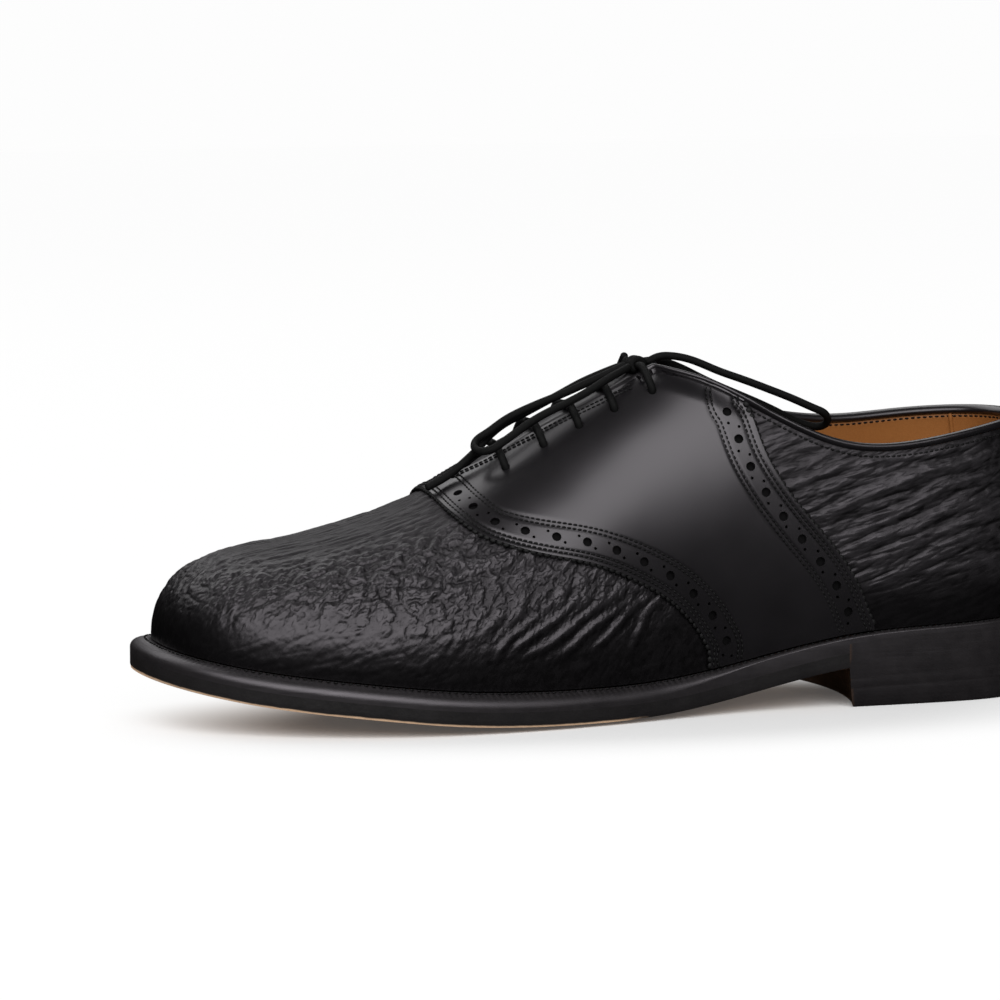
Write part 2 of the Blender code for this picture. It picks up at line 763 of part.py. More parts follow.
def strand(side, station, reach):
    """Points of the lace from an eyelet up to the facing's edge."""
    edge = np.interp(station, SLIT["station"], SLIT["half"])
    distances = np.linspace(reach, edge - LACE / 4, STRAND_POINTS)
    return [lace_over(side, station, distance) for distance in distances]


def make_lace():
    """Bars over the throat, strands from the top eyelets to the knot, and the bow."""
    finish = material("lace_cord")
    eyelets = table_rows(LACE_NAMES, EYELET_ROWS)
    for number, (station, reach) in enumerate(eyelets[:-1], 1):
        bar = strand(OUTER, station, reach) + strand(INNER, station, reach)[::-1]
        make_tube("lace_bar_%d" % number, bar, finish)
    for side in (OUTER, INNER):
        end = np.array(KNOT_CENTRE) + (0, side * (KNOT_HALF[1] + 2 * GAP), 0)
        make_tube("lace_top_" + SIDE_NAMES[side], strand(side, *eyelets[-1]) + [end], finish)
    make_knot(finish)
    make_tube("lace_loop_front", smooth_route(FRONT_LOOP), finish)
    make_tube("lace_end_front", smooth_route(FRONT_END), finish)
    make_tube("lace_loop_back", smooth_route(BACK_LOOP), finish)
    fall = [lace_over(INNER, *place) for place in table_rows(LACE_NAMES, BACK_END_ROWS)]
    make_tube("lace_end_back", smooth_route([BACK_END_START] + fall), finish)


def make_knot(finish):
    """Knot of the bow as one rounded solid."""
    bpy.ops.mesh.primitive_uv_sphere_add(segments=12, ring_count=8, radius=1.0)
    knot = bpy.context.object
    knot.name = "lace_knot"
    knot.location = to_world(KNOT_CENTRE)
    knot.scale = KNOT_HALF
    knot.data.shade_smooth()
    knot.data.materials.append(finish)
    return knot


def main():
    """Clear the scene and build the shoe."""
    for thing in list(bpy.data.objects):
        bpy.data.objects.remove(thing, do_unlink=True)
    make_outsole()
    make_heel()
    make_welt()
    make_upper()
    cutter = make_cutter()
    for side in (OUTER, INNER):
        make_saddle(side, cutter)
    make_tongue()
    make_insole()
    make_binding()
    make_lace()


main()
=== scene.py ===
"""Looks of a left saddle oxford: leather, pinking, stitching, lace, sole edges and lining.

The last's own ribs, the same as in the solids, carry every piece. Points are given as station from
the heel's back, y across and height, in metres, and to_world turns them into the frame of the model.
"""
import itertools

import bpy
import numpy as np
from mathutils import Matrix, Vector


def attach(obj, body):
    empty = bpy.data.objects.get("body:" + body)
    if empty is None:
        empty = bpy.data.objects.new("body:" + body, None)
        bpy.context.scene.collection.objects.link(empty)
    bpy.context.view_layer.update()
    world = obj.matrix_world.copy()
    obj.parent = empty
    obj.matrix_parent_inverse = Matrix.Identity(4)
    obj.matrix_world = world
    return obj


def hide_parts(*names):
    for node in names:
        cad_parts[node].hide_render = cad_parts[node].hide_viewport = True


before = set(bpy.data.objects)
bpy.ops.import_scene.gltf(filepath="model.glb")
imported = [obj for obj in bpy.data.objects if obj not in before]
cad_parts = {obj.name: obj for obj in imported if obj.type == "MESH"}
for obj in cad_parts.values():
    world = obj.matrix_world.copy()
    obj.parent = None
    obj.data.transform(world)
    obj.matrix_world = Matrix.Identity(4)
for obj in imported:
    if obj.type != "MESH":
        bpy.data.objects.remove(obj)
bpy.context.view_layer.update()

# Sizes of the shoe, in metres
HEEL_BACK = 0.003
TOE_TIP = 0.298
TOE_SHIFT = 0.0055
TOE_FAN = 0.045
HEEL_FAN = 0.045
UPPER_WALL = 0.0020
GAP = 0.0003
OUTSOLE_THICK = 0.0050
WELT_THICK = 0.0051
OUTSOLE_CROWN = 0.0022
BALL_WIDTH = 0.109
HEEL_LENGTH = 0.078
HEEL_TAPER = 0.0015
BREAST_HOLLOW = 0.006
HEEL_LIFTS = ((0.0, 0.0005), (0.0006, 0.0), (0.0050, 0.0), (0.0056, 0.0), (0.0059, 0.00005),
              (0.0062, 0.0), (0.0088, 0.0), (0.0091, 0.00003), (0.0094, 0.0), (0.0130, 0.0))
SADDLE_WALL = 0.0012
THROAT = 0.208
COLLAR_LOW = 0.075
BINDING_END = 0.138
BINDING_HIGH = 0.0028
BINDING_WIDE = 0.0042
TONGUE_LOW = 0.216
TONGUE_TOP = 0.133
TONGUE_HALF = 0.019
LACE = 0.0026
LACE_STEP = 0.0008
CAP_BULGE = 0.6
LACE_RISE = 0.0003
KNOT_CENTRE = (0.1390, 0.0015, 0.1097)
FOOT = 0.004
OUTSIDE = GAP + SADDLE_WALL
SADDLE_SWELL = 0.00028
SADDLE_SWELL_LONG = 0.026
SADDLE_SEED = 5
SADDLE_TUCK = 0.0075
BACKING_THICK = 0.0008
SINK = 0.0005
RELIEF_SPAN = 0.0007
LINING_DEPTH = 0.0013
TONGUE_THICK = 0.0018
TONGUE_SWELL = 0.00252
SOCK_THICK = 0.0018
SOCK_LIFT = 0.0026
SOCK_DISH = 0.0016
OUTSOLE_WALL = ((0.0002, 0.0002, 0.05), (0.0, 0.0008, 0.16), (0.0, 0.0026, 0.5),
                (0.0, 0.0044, 0.9), (0.0, OUTSOLE_THICK, 1.0))
WELT_NOTCH = 0.00028
WELT_NOTCH_STEP = 0.0021
WELT_STITCH_STEP = 0.0024

FEATHER_NAMES = ("station", "outer", "inner")
FEATHER_ROWS = (
    (0.010, 0.0200, 0.0195), (0.025, 0.0300, 0.0290), (0.050, 0.0338, 0.0325), (0.078, 0.0341, 0.0315),
    (0.110, 0.0345, 0.0285), (0.140, 0.0384, 0.0295), (0.170, 0.0445, 0.0355), (0.200, 0.0488, 0.0430),
    (0.220, 0.0497, 0.0465), (0.240, 0.0477, 0.0470), (0.260, 0.0423, 0.0445), (0.280, 0.0320, 0.0380),
    (0.292, 0.0198, 0.0290),
)
EDGE_NAMES = ("station", "outer", "inner")
EDGE_ROWS = (
    (0.000, 0.0025, 0.0025), (0.060, 0.0025, 0.0025), (0.090, 0.0033, 0.0026), (0.120, 0.0043, 0.0030),
    (0.160, 0.0058, 0.0042), (0.200, 0.0065, 0.0055), (0.250, 0.0066, 0.0060), (0.306, 0.0070, 0.0070),
)
BOTTOM_NAMES = ("station", "height")
BOTTOM_ROWS = (
    (0.000, 0.0169), (0.040, 0.0152), (0.078, 0.0129), (0.110, 0.0068), (0.140, 0.0020),
    (0.170, 0.0010), (0.200, 0.0019), (0.215, 0.0030), (0.230, 0.0046), (0.250, 0.0069),
    (0.270, 0.0093), (0.290, 0.0126), (0.306, 0.0160),
)
RIDGE_NAMES = ("station", "height", "shift")
RIDGE_ROWS = (
    (0.040, 0.1360, 0.0000), (0.080, 0.1290, 0.0000), (0.110, 0.1210, 0.0010), (0.130, 0.1130, 0.0020),
    (0.153, 0.1010, 0.0030), (0.175, 0.0895, 0.0040), (0.200, 0.0752, 0.0045), (0.218, 0.0667, 0.0050),
    (0.235, 0.0612, 0.0050), (0.255, 0.0568, 0.0052), (0.275, 0.0555, 0.0055),
)
RIB_NAMES = ("station", "outer_lean", "inner_lean", "outer_wall", "inner_wall",
             "outer_crown", "inner_crown")
RIB_ROWS = (
    (0.003, 0.14, 0.14, 0.45, 0.45, 0.60, 0.60), (0.060, 0.11, 0.11, 0.45, 0.45, 0.60, 0.60),
    (0.110, 0.14, 0.10, 0.45, 0.46, 0.60, 0.60), (0.160, 0.20, 0.12, 0.46, 0.50, 0.58, 0.58),
    (0.210, 0.22, 0.18, 0.50, 0.58, 0.58, 0.58), (0.250, 0.12, 0.12, 0.58, 0.62, 0.56, 0.57),
    (0.299, 0.02, 0.02, 0.72, 0.72, 0.52, 0.52),
)
COLLAR_NAMES = ("station", "outer", "inner")
COLLAR_ROWS = (
    (0.000, 0.0925, 0.0925), (0.020, 0.0909, 0.0915), (0.040, 0.0878, 0.0902), (0.061, 0.0853, 0.0890),
    (0.078, 0.0868, 0.0905), (0.097, 0.0946, 0.0960), (0.110, 0.1018, 0.1028), (0.120, 0.1068, 0.1072),
    (0.130, 0.1100, 0.1103), (0.145, 0.1135, 0.1138), (0.210, 0.1200, 0.1200),
)
SLIT_NAMES = ("station", "half")
SLIT_ROWS = (
    (0.040, 0.0088), (0.150, 0.0088), (0.175, 0.0086), (0.190, 0.0068), (0.200, 0.0036),
    (0.208, 0.0000),
)

# Saddle's edges on the outer side: station, distance beside the ridge and height
SADDLE_FRONT_ROWS = (
    (0.2092, 0.0000, 0.0708), (0.2092, 0.0060, 0.0703), (0.2089, 0.0117, 0.0694),
    (0.2077, 0.0228, 0.0664), (0.2052, 0.0304, 0.0636), (0.2010, 0.0368, 0.0601),
    (0.1940, 0.0410, 0.0572), (0.1829, 0.0440, 0.0544), (0.1697, 0.0448, 0.0518),
    (0.1593, 0.0440, 0.0484), (0.1490, 0.0430, 0.0436), (0.1419, 0.0420, 0.0394),
    (0.1356, 0.0410, 0.0341), (0.1310, 0.0401, 0.0290), (0.1257, 0.0385, 0.0203),
)
SADDLE_REAR_ROWS = (
    (0.1098, 0.0208, 0.1010),
    (0.1075, 0.0250, 0.0930),
    (0.1056, 0.0276, 0.0855),
    (0.0992, 0.0315, 0.0725),
    (0.0898, 0.0340, 0.0601),
    (0.0824, 0.0348, 0.0511),
    (0.0776, 0.0351, 0.0441),
    (0.0741, 0.0350, 0.0375),
    (0.0712, 0.0347, 0.0305),
    (0.0690, 0.0344, 0.0265),
)

# Places of the lace on the saddle: station and distance from the ridge
EYELET_ROWS = (
    (0.1852, 0.0180), (0.1729, 0.0168), (0.1614, 0.0160), (0.1500, 0.0157), (0.1378, 0.0152),
)
BACK_END_START = (0.1408, 0.0070, 0.1123)
BACK_END_ROWS = (
    (0.1412, 0.0090), (0.1416, 0.0120), (0.1412, 0.0148), (0.1404, 0.0172), (0.1400, 0.0192),
    (0.1404, 0.0210), (0.1415, 0.0224),
)

# Routes of the bow, each from the knot: station, y and height of the lace's middle
FRONT_LOOP = (
    (0.1432, -0.0003, 0.1098), (0.1510, -0.0010, 0.1066), (0.1580, -0.0016, 0.1039),
    (0.1650, -0.0020, 0.1012), (0.1720, -0.0025, 0.0988), (0.1790, -0.0030, 0.0962),
    (0.1850, -0.0036, 0.0934), (0.1915, -0.0042, 0.0893), (0.1937, -0.0044, 0.0880),
    (0.1953, -0.0058, 0.0866), (0.1959, -0.0080, 0.0854), (0.1953, -0.0104, 0.0847),
    (0.1937, -0.0124, 0.0848), (0.1915, -0.0134, 0.0856), (0.1875, -0.0133, 0.0880),
    (0.1847, -0.0128, 0.0897), (0.1790, -0.0119, 0.0932), (0.1715, -0.0110, 0.0969),
    (0.1645, -0.0102, 0.0998), (0.1575, -0.0093, 0.1031), (0.1515, -0.0079, 0.1062),
    (0.1465, -0.0060, 0.1083), (0.1430, -0.0042, 0.1096),
)
FRONT_END = (
    (0.1430, 0.0042, 0.1092),
    (0.1465, 0.0045, 0.1080),
    (0.1500, 0.0046, 0.1067),
    (0.1565, 0.0046, 0.1041),
    (0.1630, 0.0045, 0.1009),
    (0.1700, 0.0043, 0.0975),
    (0.1770, 0.0036, 0.0943),
    (0.1825, 0.0022, 0.0920),
    (0.1870, 0.0002, 0.0896),
    (0.1910, -0.0022, 0.0869),
    (0.1945, -0.0038, 0.0838),
    (0.1975, -0.0043, 0.0813),
    (0.2000, -0.0046, 0.0793),
    (0.2053, -0.0050, 0.0757),
    (0.2110, -0.0056, 0.0730),
)
BACK_LOOP = (
    (0.1350, 0.0000, 0.1108), (0.1320, -0.0010, 0.1124), (0.1280, -0.0020, 0.1127),
    (0.1210, -0.0040, 0.1112), (0.1135, -0.0062, 0.1080), (0.1060, -0.0085, 0.1052),
    (0.0970, -0.0105, 0.1017), (0.0890, -0.0122, 0.0984), (0.0815, -0.0136, 0.0950),
    (0.0793, -0.0137, 0.0939), (0.0777, -0.0128, 0.0922), (0.0771, -0.0111, 0.0905),
    (0.0777, -0.0091, 0.0892), (0.0793, -0.0073, 0.0886), (0.0815, -0.0062, 0.0889),
    (0.0930, -0.0048, 0.0940), (0.1050, -0.0035, 0.0995), (0.1170, -0.0010, 0.1050),
    (0.1270, 0.0020, 0.1098), (0.1330, 0.0034, 0.1108), (0.1352, 0.0037, 0.1106),
)

# Pinked bands of the saddle: distances from the edge, spacing and sizes of holes and stitches
BAND_HOLES = 0.0063
BAND_SEAMS = (0.0014, 0.0028, 0.0099, 0.0113)
BAND_SPREAD = 0.0006
HOLE_STEPS = {"front": 0.0100, "rear": 0.0096}
HOLE_STARTS = {"front": 0.0166, "rear": 0.0102}
HOLE_WIDE = 0.0031
PIN_WIDE = 0.0010
PIN_APART = 0.0030
EYELET_WIDE = 0.0030
STITCH_STEP = 0.0017
STITCH_LONG = 0.0015
STITCH_WIDE = 0.00075
SEAM_DIP = 0.00020
SEAM_DIP_WIDE = 0.0005
GIMP_STEP = 0.0022
GIMP_WIDE = 0.0022
REAR_STITCH_START = 0.0038
FACING_SEAMS = (0.0016, 0.0031)
FACING_LOW = 0.203
FACING_TOP = 0.1430
COLLAR_STITCH_STEP = 0.0019
LINING_STITCH_STEP = 0.0021
LINING_SEAM = 0.09

# Main folds on each side: station and height of points along each crest
VAMP_FOLDS = (
    ((0.2022, 0.0217), (0.1974, 0.0282), (0.1921, 0.0320), (0.1854, 0.0360)),
    ((0.1974, 0.0236), (0.1922, 0.0279), (0.1855, 0.0317), (0.1788, 0.0362), (0.1716, 0.0417)),
    ((0.1898, 0.0238), (0.1836, 0.0265), (0.1779, 0.0297), (0.1708, 0.0350), (0.1651, 0.0380)),
    ((0.1807, 0.0215), (0.1751, 0.0253), (0.1689, 0.0305), (0.1632, 0.0337), (0.1566, 0.0373),
     (0.1519, 0.0412)),
    ((0.1689, 0.0235), (0.1628, 0.0277), (0.1567, 0.0337), (0.1524, 0.0371), (0.1463, 0.0402)),
    ((0.1553, 0.0224), (0.1505, 0.0297), (0.1477, 0.0358), (0.1430, 0.0396)),
)
QUARTER_FOLDS = (
    ((0.0870, 0.0701), (0.0767, 0.0747), (0.0652, 0.0794), (0.0506, 0.0809), (0.0307, 0.0843)),
    ((0.0858, 0.0608), (0.0759, 0.0666), (0.0642, 0.0704), (0.0507, 0.0754), (0.0385, 0.0772),
     (0.0224, 0.0811)),
    ((0.0799, 0.0544), (0.0686, 0.0602), (0.0577, 0.0636), (0.0459, 0.0692), (0.0352, 0.0723),
     (0.0228, 0.0750)),
    ((0.0784, 0.0509), (0.0665, 0.0552), (0.0541, 0.0582), (0.0427, 0.0632), (0.0305, 0.0658),
     (0.0233, 0.0677)),
    ((0.0750, 0.0457), (0.0621, 0.0509), (0.0501, 0.0546), (0.0391, 0.0576), (0.0236, 0.0604)),
    ((0.0562, 0.0470), (0.0447, 0.0520), (0.0318, 0.0546), (0.0238, 0.0555)),
)
VAMP_SLANT, TOE_SLANT, CROWN_SLANT, QUARTER_SLANT = 50, 34, 14, 17
VAMP_FOLD_HIGH, VAMP_FOLD_WIDE = 0.00042, 0.0013
QUARTER_FOLD_HIGH, QUARTER_FOLD_WIDE = 0.00055, 0.0020
FOLD_STEPS = 60

# Photograph's view: the point looked at, as station, y and height, and the camera
VIEW_POINT = (0.18511, 0.0, 0.06726)
VIEW_AZIMUTH = -16.5
VIEW_ELEVATION = 7.0
VIEW_DISTANCE = 1.8
VIEW_LENS = 200.46

# Pale floor, lit under the shoe and glowing evenly away from it
FLOOR_SIZE = 6
FLOOR_LIT = (0.70, 0.70, 0.70)
FLOOR_DIM = (0.05, 0.05, 0.05)
FLOOR_GLOW = (0.94, 0.94, 0.94)

# Soft boxes: name, place, width and height, and power in watts
LIGHTS = (
    ("high_front", (-0.36, -1.13, 1.12), (2.2, 1.4), 34),
    ("high_back", (-0.2, 1.10, 1.20), (2.2, 1.0), 11),
)
LIGHT_TARGET = (0, 0, 0.05)
ROOM_STRENGTH = 0.45

OUTER, INNER = -1, 1
SIDES = (OUTER, INNER)
SIDE_NAMES = {OUTER: "outer", INNER: "inner"}
NORMAL_LIMIT = 0.985
TRIES = 500
STEP = 1e-4
WELD = 0.00004


def columns(names, rows):
    """Rows of a table as arrays under the names of their columns."""
    return dict(zip(names, np.array(rows, float).T))


def spline(knots, values):
    """Smooth curve through values at knots, with straight ends."""
    knots = np.asarray(knots, float)
    values = np.asarray(values, float)
    count = len(knots)
    spans = np.diff(knots)
    shape = (-1,) + (1,) * (values.ndim - 1)
    slopes = np.diff(values, axis=0) / spans.reshape(shape)
    system = np.eye(count)
    right = np.zeros_like(values)
    for i in range(1, count - 1):
        system[i, i - 1:i + 2] = spans[i - 1], 2 * (spans[i - 1] + spans[i]), spans[i]
        right[i] = 6 * (slopes[i] - slopes[i - 1])
    bends = np.linalg.solve(system, right)

    def at(place):
        place = np.clip(place, knots[0], knots[-1])
        k = np.clip(np.searchsorted(knots, place, side="right") - 1, 0, count - 2)
        span = spans[k]
        b = (place - knots[k]) / span
        if values.ndim > 1:
            b, span = b[..., None], span[..., None]
        a = 1 - b
        curve = (a ** 3 - a) * bends[k] + (b ** 3 - b) * bends[k + 1]
        return a * values[k] + b * values[k + 1] + curve * span ** 2 / 6

    return at


def table_spline(names, rows):
    """One smooth curve for each column of a table but the first, over the first."""
    table = columns(names, rows)
    return {name: spline(table[names[0]], table[name]) for name in names[1:]}


EDGE = table_spline(EDGE_NAMES, EDGE_ROWS)
BOTTOM = table_spline(BOTTOM_NAMES, BOTTOM_ROWS)["height"]
RIDGE = table_spline(RIDGE_NAMES, RIDGE_ROWS)
RIB = table_spline(RIB_NAMES, RIB_ROWS)
COLLAR = table_spline(COLLAR_NAMES, COLLAR_ROWS)
SLIT = columns(SLIT_NAMES, SLIT_ROWS)


def slit_half(station):
    """Half the width of the slit between the facings."""
    return np.interp(station, SLIT["station"], SLIT["half"])


def chord_lengths(points):
    """Distance run along a line of points, at each point."""
    return np.concatenate([[0], np.cumsum(np.linalg.norm(np.diff(points, axis=0), axis=-1))])


def feather_curve():
    """Feather line as a function of side and t, from the heel's back (0) to the toe's tip (1)."""
    table = columns(FEATHER_NAMES, FEATHER_ROWS)
    outer = np.column_stack([table["station"], -table["outer"]])
    inner = np.column_stack([table["station"], table["inner"]])
    loop = np.vstack([[(HEEL_BACK, 0.0)], outer, [(TOE_TIP, TOE_SHIFT)], inner[::-1]])
    wrap = 4
    ring = np.vstack([loop[-wrap:], loop, loop[:wrap + 1]])
    chords = chord_lengths(ring)
    curve = spline(chords, ring)
    toe = chords[wrap + len(outer) + 1]
    heels = {OUTER: chords[wrap], INNER: chords[wrap + len(loop)]}

    def at(side, t):
        return curve(heels[side] + np.asarray(t, float) * (toe - heels[side]))

    return at


feather = feather_curve()


def sole_line(side, t, out):
    """Feather line moved outwards by a distance, or inwards by a negative one."""
    t = np.asarray(t, float)
    along = feather(side, t + STEP) - feather(side, t - STEP)
    along /= np.linalg.norm(along, axis=-1, keepdims=True)
    normal = side * np.stack([-along[..., 1], along[..., 0]], -1)
    return feather(side, t) + normal * np.broadcast_to(out, t.shape)[..., None]


def sole_edge(side, t):
    """Edge of the sole in plan."""
    return sole_line(side, t, EDGE[SIDE_NAMES[side]](feather(side, t)[..., 0]))


def seat_height(station):
    """Height of the feather line above the floor."""
    return BOTTOM(station) + OUTSOLE_THICK + GAP + WELT_THICK


def apex_station(t):
    """Station on the ridge where the ribs at t end; the ribs fan out round toe and heel."""
    middle = (feather(OUTER, t)[..., 0] + feather(INNER, t)[..., 0]) / 2
    toe = TOE_TIP - middle
    heel = middle - HEEL_BACK
    return middle - (np.hypot(toe, TOE_FAN) - toe) + (np.hypot(heel, HEEL_FAN) - heel)


def rib(side, t, v):
    """Point of the upper's outer surface, as station, y and height, at v from feather line to ridge."""
    name = SIDE_NAMES[side]
    foot = feather(side, t)
    station, y = foot[..., 0], foot[..., 1]
    seat = seat_height(station) + GAP
    apex = apex_station(t)
    high = RIDGE["height"](apex)
    shift = RIDGE["shift"](apex)
    slope = (RIDGE["height"](apex + STEP) - RIDGE["height"](apex - STEP)) / (2 * STEP)
    reach = np.hypot(apex - station, shift - y)
    along, across = (apex - station) / reach, (shift - y) / reach
    lean = RIB[name + "_lean"](station)
    rise = RIB[name + "_wall"](station) * (high - seat)
    crown = RIB[name + "_crown"](station) * reach
    start = np.stack([station, y, seat], -1)
    upwards = np.stack([-along * np.sin(lean), -across * np.sin(lean), np.cos(lean)], -1)
    wall = start + upwards * rise[..., None]
    end = np.stack([apex, shift, high], -1)
    shoulder = end - np.stack([along, across, slope * along], -1) * crown[..., None]
    v = np.asarray(v, float)[..., None]
    u = 1 - v
    return u ** 3 * start + 3 * u ** 2 * v * wall + 3 * u * v ** 2 * shoulder + v ** 3 * end


def unit(vectors):
    """Vectors of length one."""
    return vectors / np.maximum(np.linalg.norm(vectors, axis=-1, keepdims=True), 1e-12)


def rib_tangents(side, t, v):
    """Directions towards the toe and up the rib."""
    v = np.minimum(v, NORMAL_LIMIT)
    toward_toe = rib(side, t + STEP, v) - rib(side, t - STEP, v)
    upwards = rib(side, t, v + STEP) - rib(side, t, v - STEP)
    return unit(toward_toe), unit(upwards)


def flow(side, t, v, angle):
    """Direction on the surface that rises towards the heel at an angle, seen from the side."""
    normal = rib_normal(side, t, v)
    angle = np.broadcast_to(angle, np.shape(t))
    heading = np.stack([-np.cos(angle), np.zeros_like(angle), np.sin(angle)], -1)
    return unit(heading - normal * np.sum(heading * normal, -1, keepdims=True))


def rib_normal(side, t, v):
    """Outward normal of the upper's surface, the same on both sides of the ridge."""
    t, v = np.broadcast_arrays(np.asarray(t, float), np.asarray(v, float))
    normal = unit(-side * np.cross(*rib_tangents(side, t, v)))
    middle = v > 1 - STEP
    other = unit(side * np.cross(*rib_tangents(-side, t, v)))
    return unit(np.where(middle[..., None], normal + other, normal))


def surface(side, t, v, out):
    """Point of the upper's surface moved out along its normal."""
    return rib(side, t, v) + rib_normal(side, t, v) * np.asarray(out, float)[..., None]


def rim(side, t):
    """Value of v at the upper's top edge: topline, facing edge, or 1 where the vamp is closed."""
    tries = np.linspace(0.01, 1, TRIES)
    heights = COLLAR[SIDE_NAMES[side]]
    tops = np.ones(len(t))
    for i, place in enumerate(t):
        if apex_station(place) >= THROAT - STEP:
            continue
        points = rib(side, np.full_like(tries, place), tries)
        over = points[:, 2] - (heights(points[:, 0]) - BINDING_HIGH)
        apart = np.abs(points[:, 1] - RIDGE["shift"](points[:, 0]))
        inside = slit_half(points[:, 0]) - apart
        past = np.where(points[:, 0] > COLLAR_LOW, np.maximum(over, inside), over)
        first = int(np.argmax(past >= 0))
        share = -past[first - 1] / (past[first] - past[first - 1])
        tops[i] = tries[first - 1] + share * (tries[first] - tries[first - 1])
    return tops


def place_at(station):
    """Value of t whose ribs end at a station of the ridge."""
    tries = np.linspace(0, 1, 4 * TRIES)
    return float(np.interp(station, apex_station(tries), tries))


def beside_ridge(side, t, distance):
    """Value of v on the rib at t where the surface lies at a distance beside the ridge."""
    tries = np.linspace(0, 1, TRIES)
    points = rib(side, np.full_like(tries, t), tries)
    apart = np.abs(points[:, 1] - points[-1, 1])
    widest = int(np.argmax(apart))
    return float(np.interp(-distance, -apart[widest:], tries[widest:]))


ALL_PLACES = np.linspace(0, 1, 300)
SOLE_PLAN = np.vstack([sole_edge(side, ALL_PLACES) for side in SIDES])
MIDDLE = (SOLE_PLAN.min(axis=0) + SOLE_PLAN.max(axis=0)) / 2
RIM = {side: (lambda t, tops=rim(side, ALL_PLACES): np.interp(t, ALL_PLACES, tops)) for side in SIDES}


def to_world(points):
    """Station, y and height as x, y and z, with the sole's middle over the origin."""
    points = np.array(points, float)
    points[..., 0] = MIDDLE[0] - points[..., 0]
    points[..., 1] -= MIDDLE[1]
    return points


def smoothstep(low, high, value):
    """Soft step from 0 at low to 1 at high."""
    share = np.clip((value - low) / (high - low), 0, 1)
    return share * share * (3 - 2 * share)


def noise(points, seed):
    """Smooth noise of about -1 to 1 at points given in wavelengths."""
    draw = np.random.default_rng(seed)
    order = draw.permutation(256)
    slopes = unit(draw.normal(size=(256, 3)))
    base = np.floor(points).astype(int)
    share = points - base
    fade = share ** 3 * (share * (share * 6 - 15) + 10)
    total = np.zeros(points.shape[:-1])
    for corner in itertools.product((0, 1), repeat=3):
        key = np.zeros(points.shape[:-1], int)
        weight = np.ones(points.shape[:-1])
        lift = share - np.array(corner)
        for axis in range(3):
            key = order[(key + base[..., axis] + corner[axis]) & 255]
            weight *= fade[..., axis] if corner[axis] else 1 - fade[..., axis]
        total += weight * np.sum(slopes[key] * lift, -1)
    return total * 1.6


def streaks(points, along, wavelength, reach, seed):
    """Noise drawn out along a direction at each point, brought to an even strength."""
    total = np.zeros(points.shape[:-1])
    count = max(7, int(4 * np.max(reach) / wavelength) + 1)
    reach = np.broadcast_to(reach, total.shape)[..., None]
    for share in np.linspace(-1, 1, count):
        total += noise((points + along * reach * share) / wavelength, seed) * (1.2 - abs(share))
    return total / (total.std() + 1e-9)


# Shader helpers

class Value:
    """A socket of a material whose arithmetic adds Math nodes."""

    def __init__(self, finish, socket):
        self.finish = finish
        self.socket = socket

    def math(self, operation, first, second):
        return self.finish.node("ShaderNodeMath", {"operation": operation}, {0: first, 1: second})

    def __add__(self, other):
        return self.math("ADD", self, other)

    def __radd__(self, other):
        return self.math("ADD", other, self)

    def __sub__(self, other):
        return self.math("SUBTRACT", self, other)

    def __rsub__(self, other):
        return self.math("SUBTRACT", other, self)

    def __mul__(self, other):
        return self.math("MULTIPLY", self, other)

    def __rmul__(self, other):
        return self.math("MULTIPLY", other, self)


class Finish:
    """A Principled material with nodes added one by one."""

    def __init__(self, name, **constants):
        self.material = bpy.data.materials.new(name)
        self.material.use_nodes = True
        self.tree = self.material.node_tree
        self.shader = self.tree.nodes["Principled BSDF"]
        for key, value in constants.items():
            self.shader.inputs[key.replace("_", " ").title().replace("Ior", "IOR")].default_value = value

    def node(self, kind, settings=None, sockets=None, out=0):
        """New node with its settings, then its sockets' values or links; gives one output."""
        made = self.tree.nodes.new(kind)
        for key, value in (settings or {}).items():
            setattr(made, key, value)
        for key, value in (sockets or {}).items():
            self.put(made.inputs[key], value)
        return Value(self, made.outputs[out])

    def put(self, socket, value):
        """A value or a link on a socket."""
        if isinstance(value, Value):
            self.tree.links.new(value.socket, socket)
        else:
            socket.default_value = value

    def feed(self, name, value):
        """A varying value on one of the shader's own sockets."""
        self.put(self.shader.inputs[name], value)

    def place(self, kind="Object"):
        """Coordinates of the piece."""
        return self.node("ShaderNodeTexCoord", out=kind)

    def mapped(self, vector=None, **moves):
        """Coordinates of the piece, or others, moved, turned or scaled."""
        return self.node("ShaderNodeMapping", None, {"Vector": vector or self.place(), **moves})

    def attribute(self, name):
        """Number kept on the piece's points."""
        return self.node("ShaderNodeAttribute", {"attribute_name": name}, out="Fac")

    def noise(self, scale, detail=3.0, vector=None):
        """Noise at a number of waves a metre."""
        vector = vector or self.place()
        sockets = {"Vector": vector, "Scale": scale, "Detail": detail, "Roughness": 0.6}
        return self.node("ShaderNodeTexNoise", None, sockets)

    def ramp(self, value, low, high):
        """Soft step of a value between two levels."""
        sockets = {"Value": value, "From Min": low, "From Max": high}
        return self.node("ShaderNodeMapRange", {"interpolation_type": "SMOOTHSTEP"}, sockets)

    def mix(self, factor, first, second):
        """Blend of two colours."""
        return self.node("ShaderNodeMix", {"data_type": "RGBA"}, {0: factor, 6: first, 7: second}, out=2)

    def shade(self, factor, dark, pale):
        """Blend of a dark and a pale colour on the shader's base colour."""
        self.feed("Base Color", self.mix(factor, colour(*dark), colour(*pale)))

    def bump(self, height, strength, distance):
        """Relief on the shader's normal."""
        sockets = {"Strength": strength, "Distance": distance, "Height": height}
        self.feed("Normal", self.node("ShaderNodeBump", None, sockets))


def colour(red, green, blue):
    """Opaque colour."""
    return (red, green, blue, 1.0)


BLACK_SHEEN = colour(1.0, 0.93, 1.0)
INK = (colour(0.005, 0.0045, 0.0048), colour(0.013, 0.0115, 0.012))


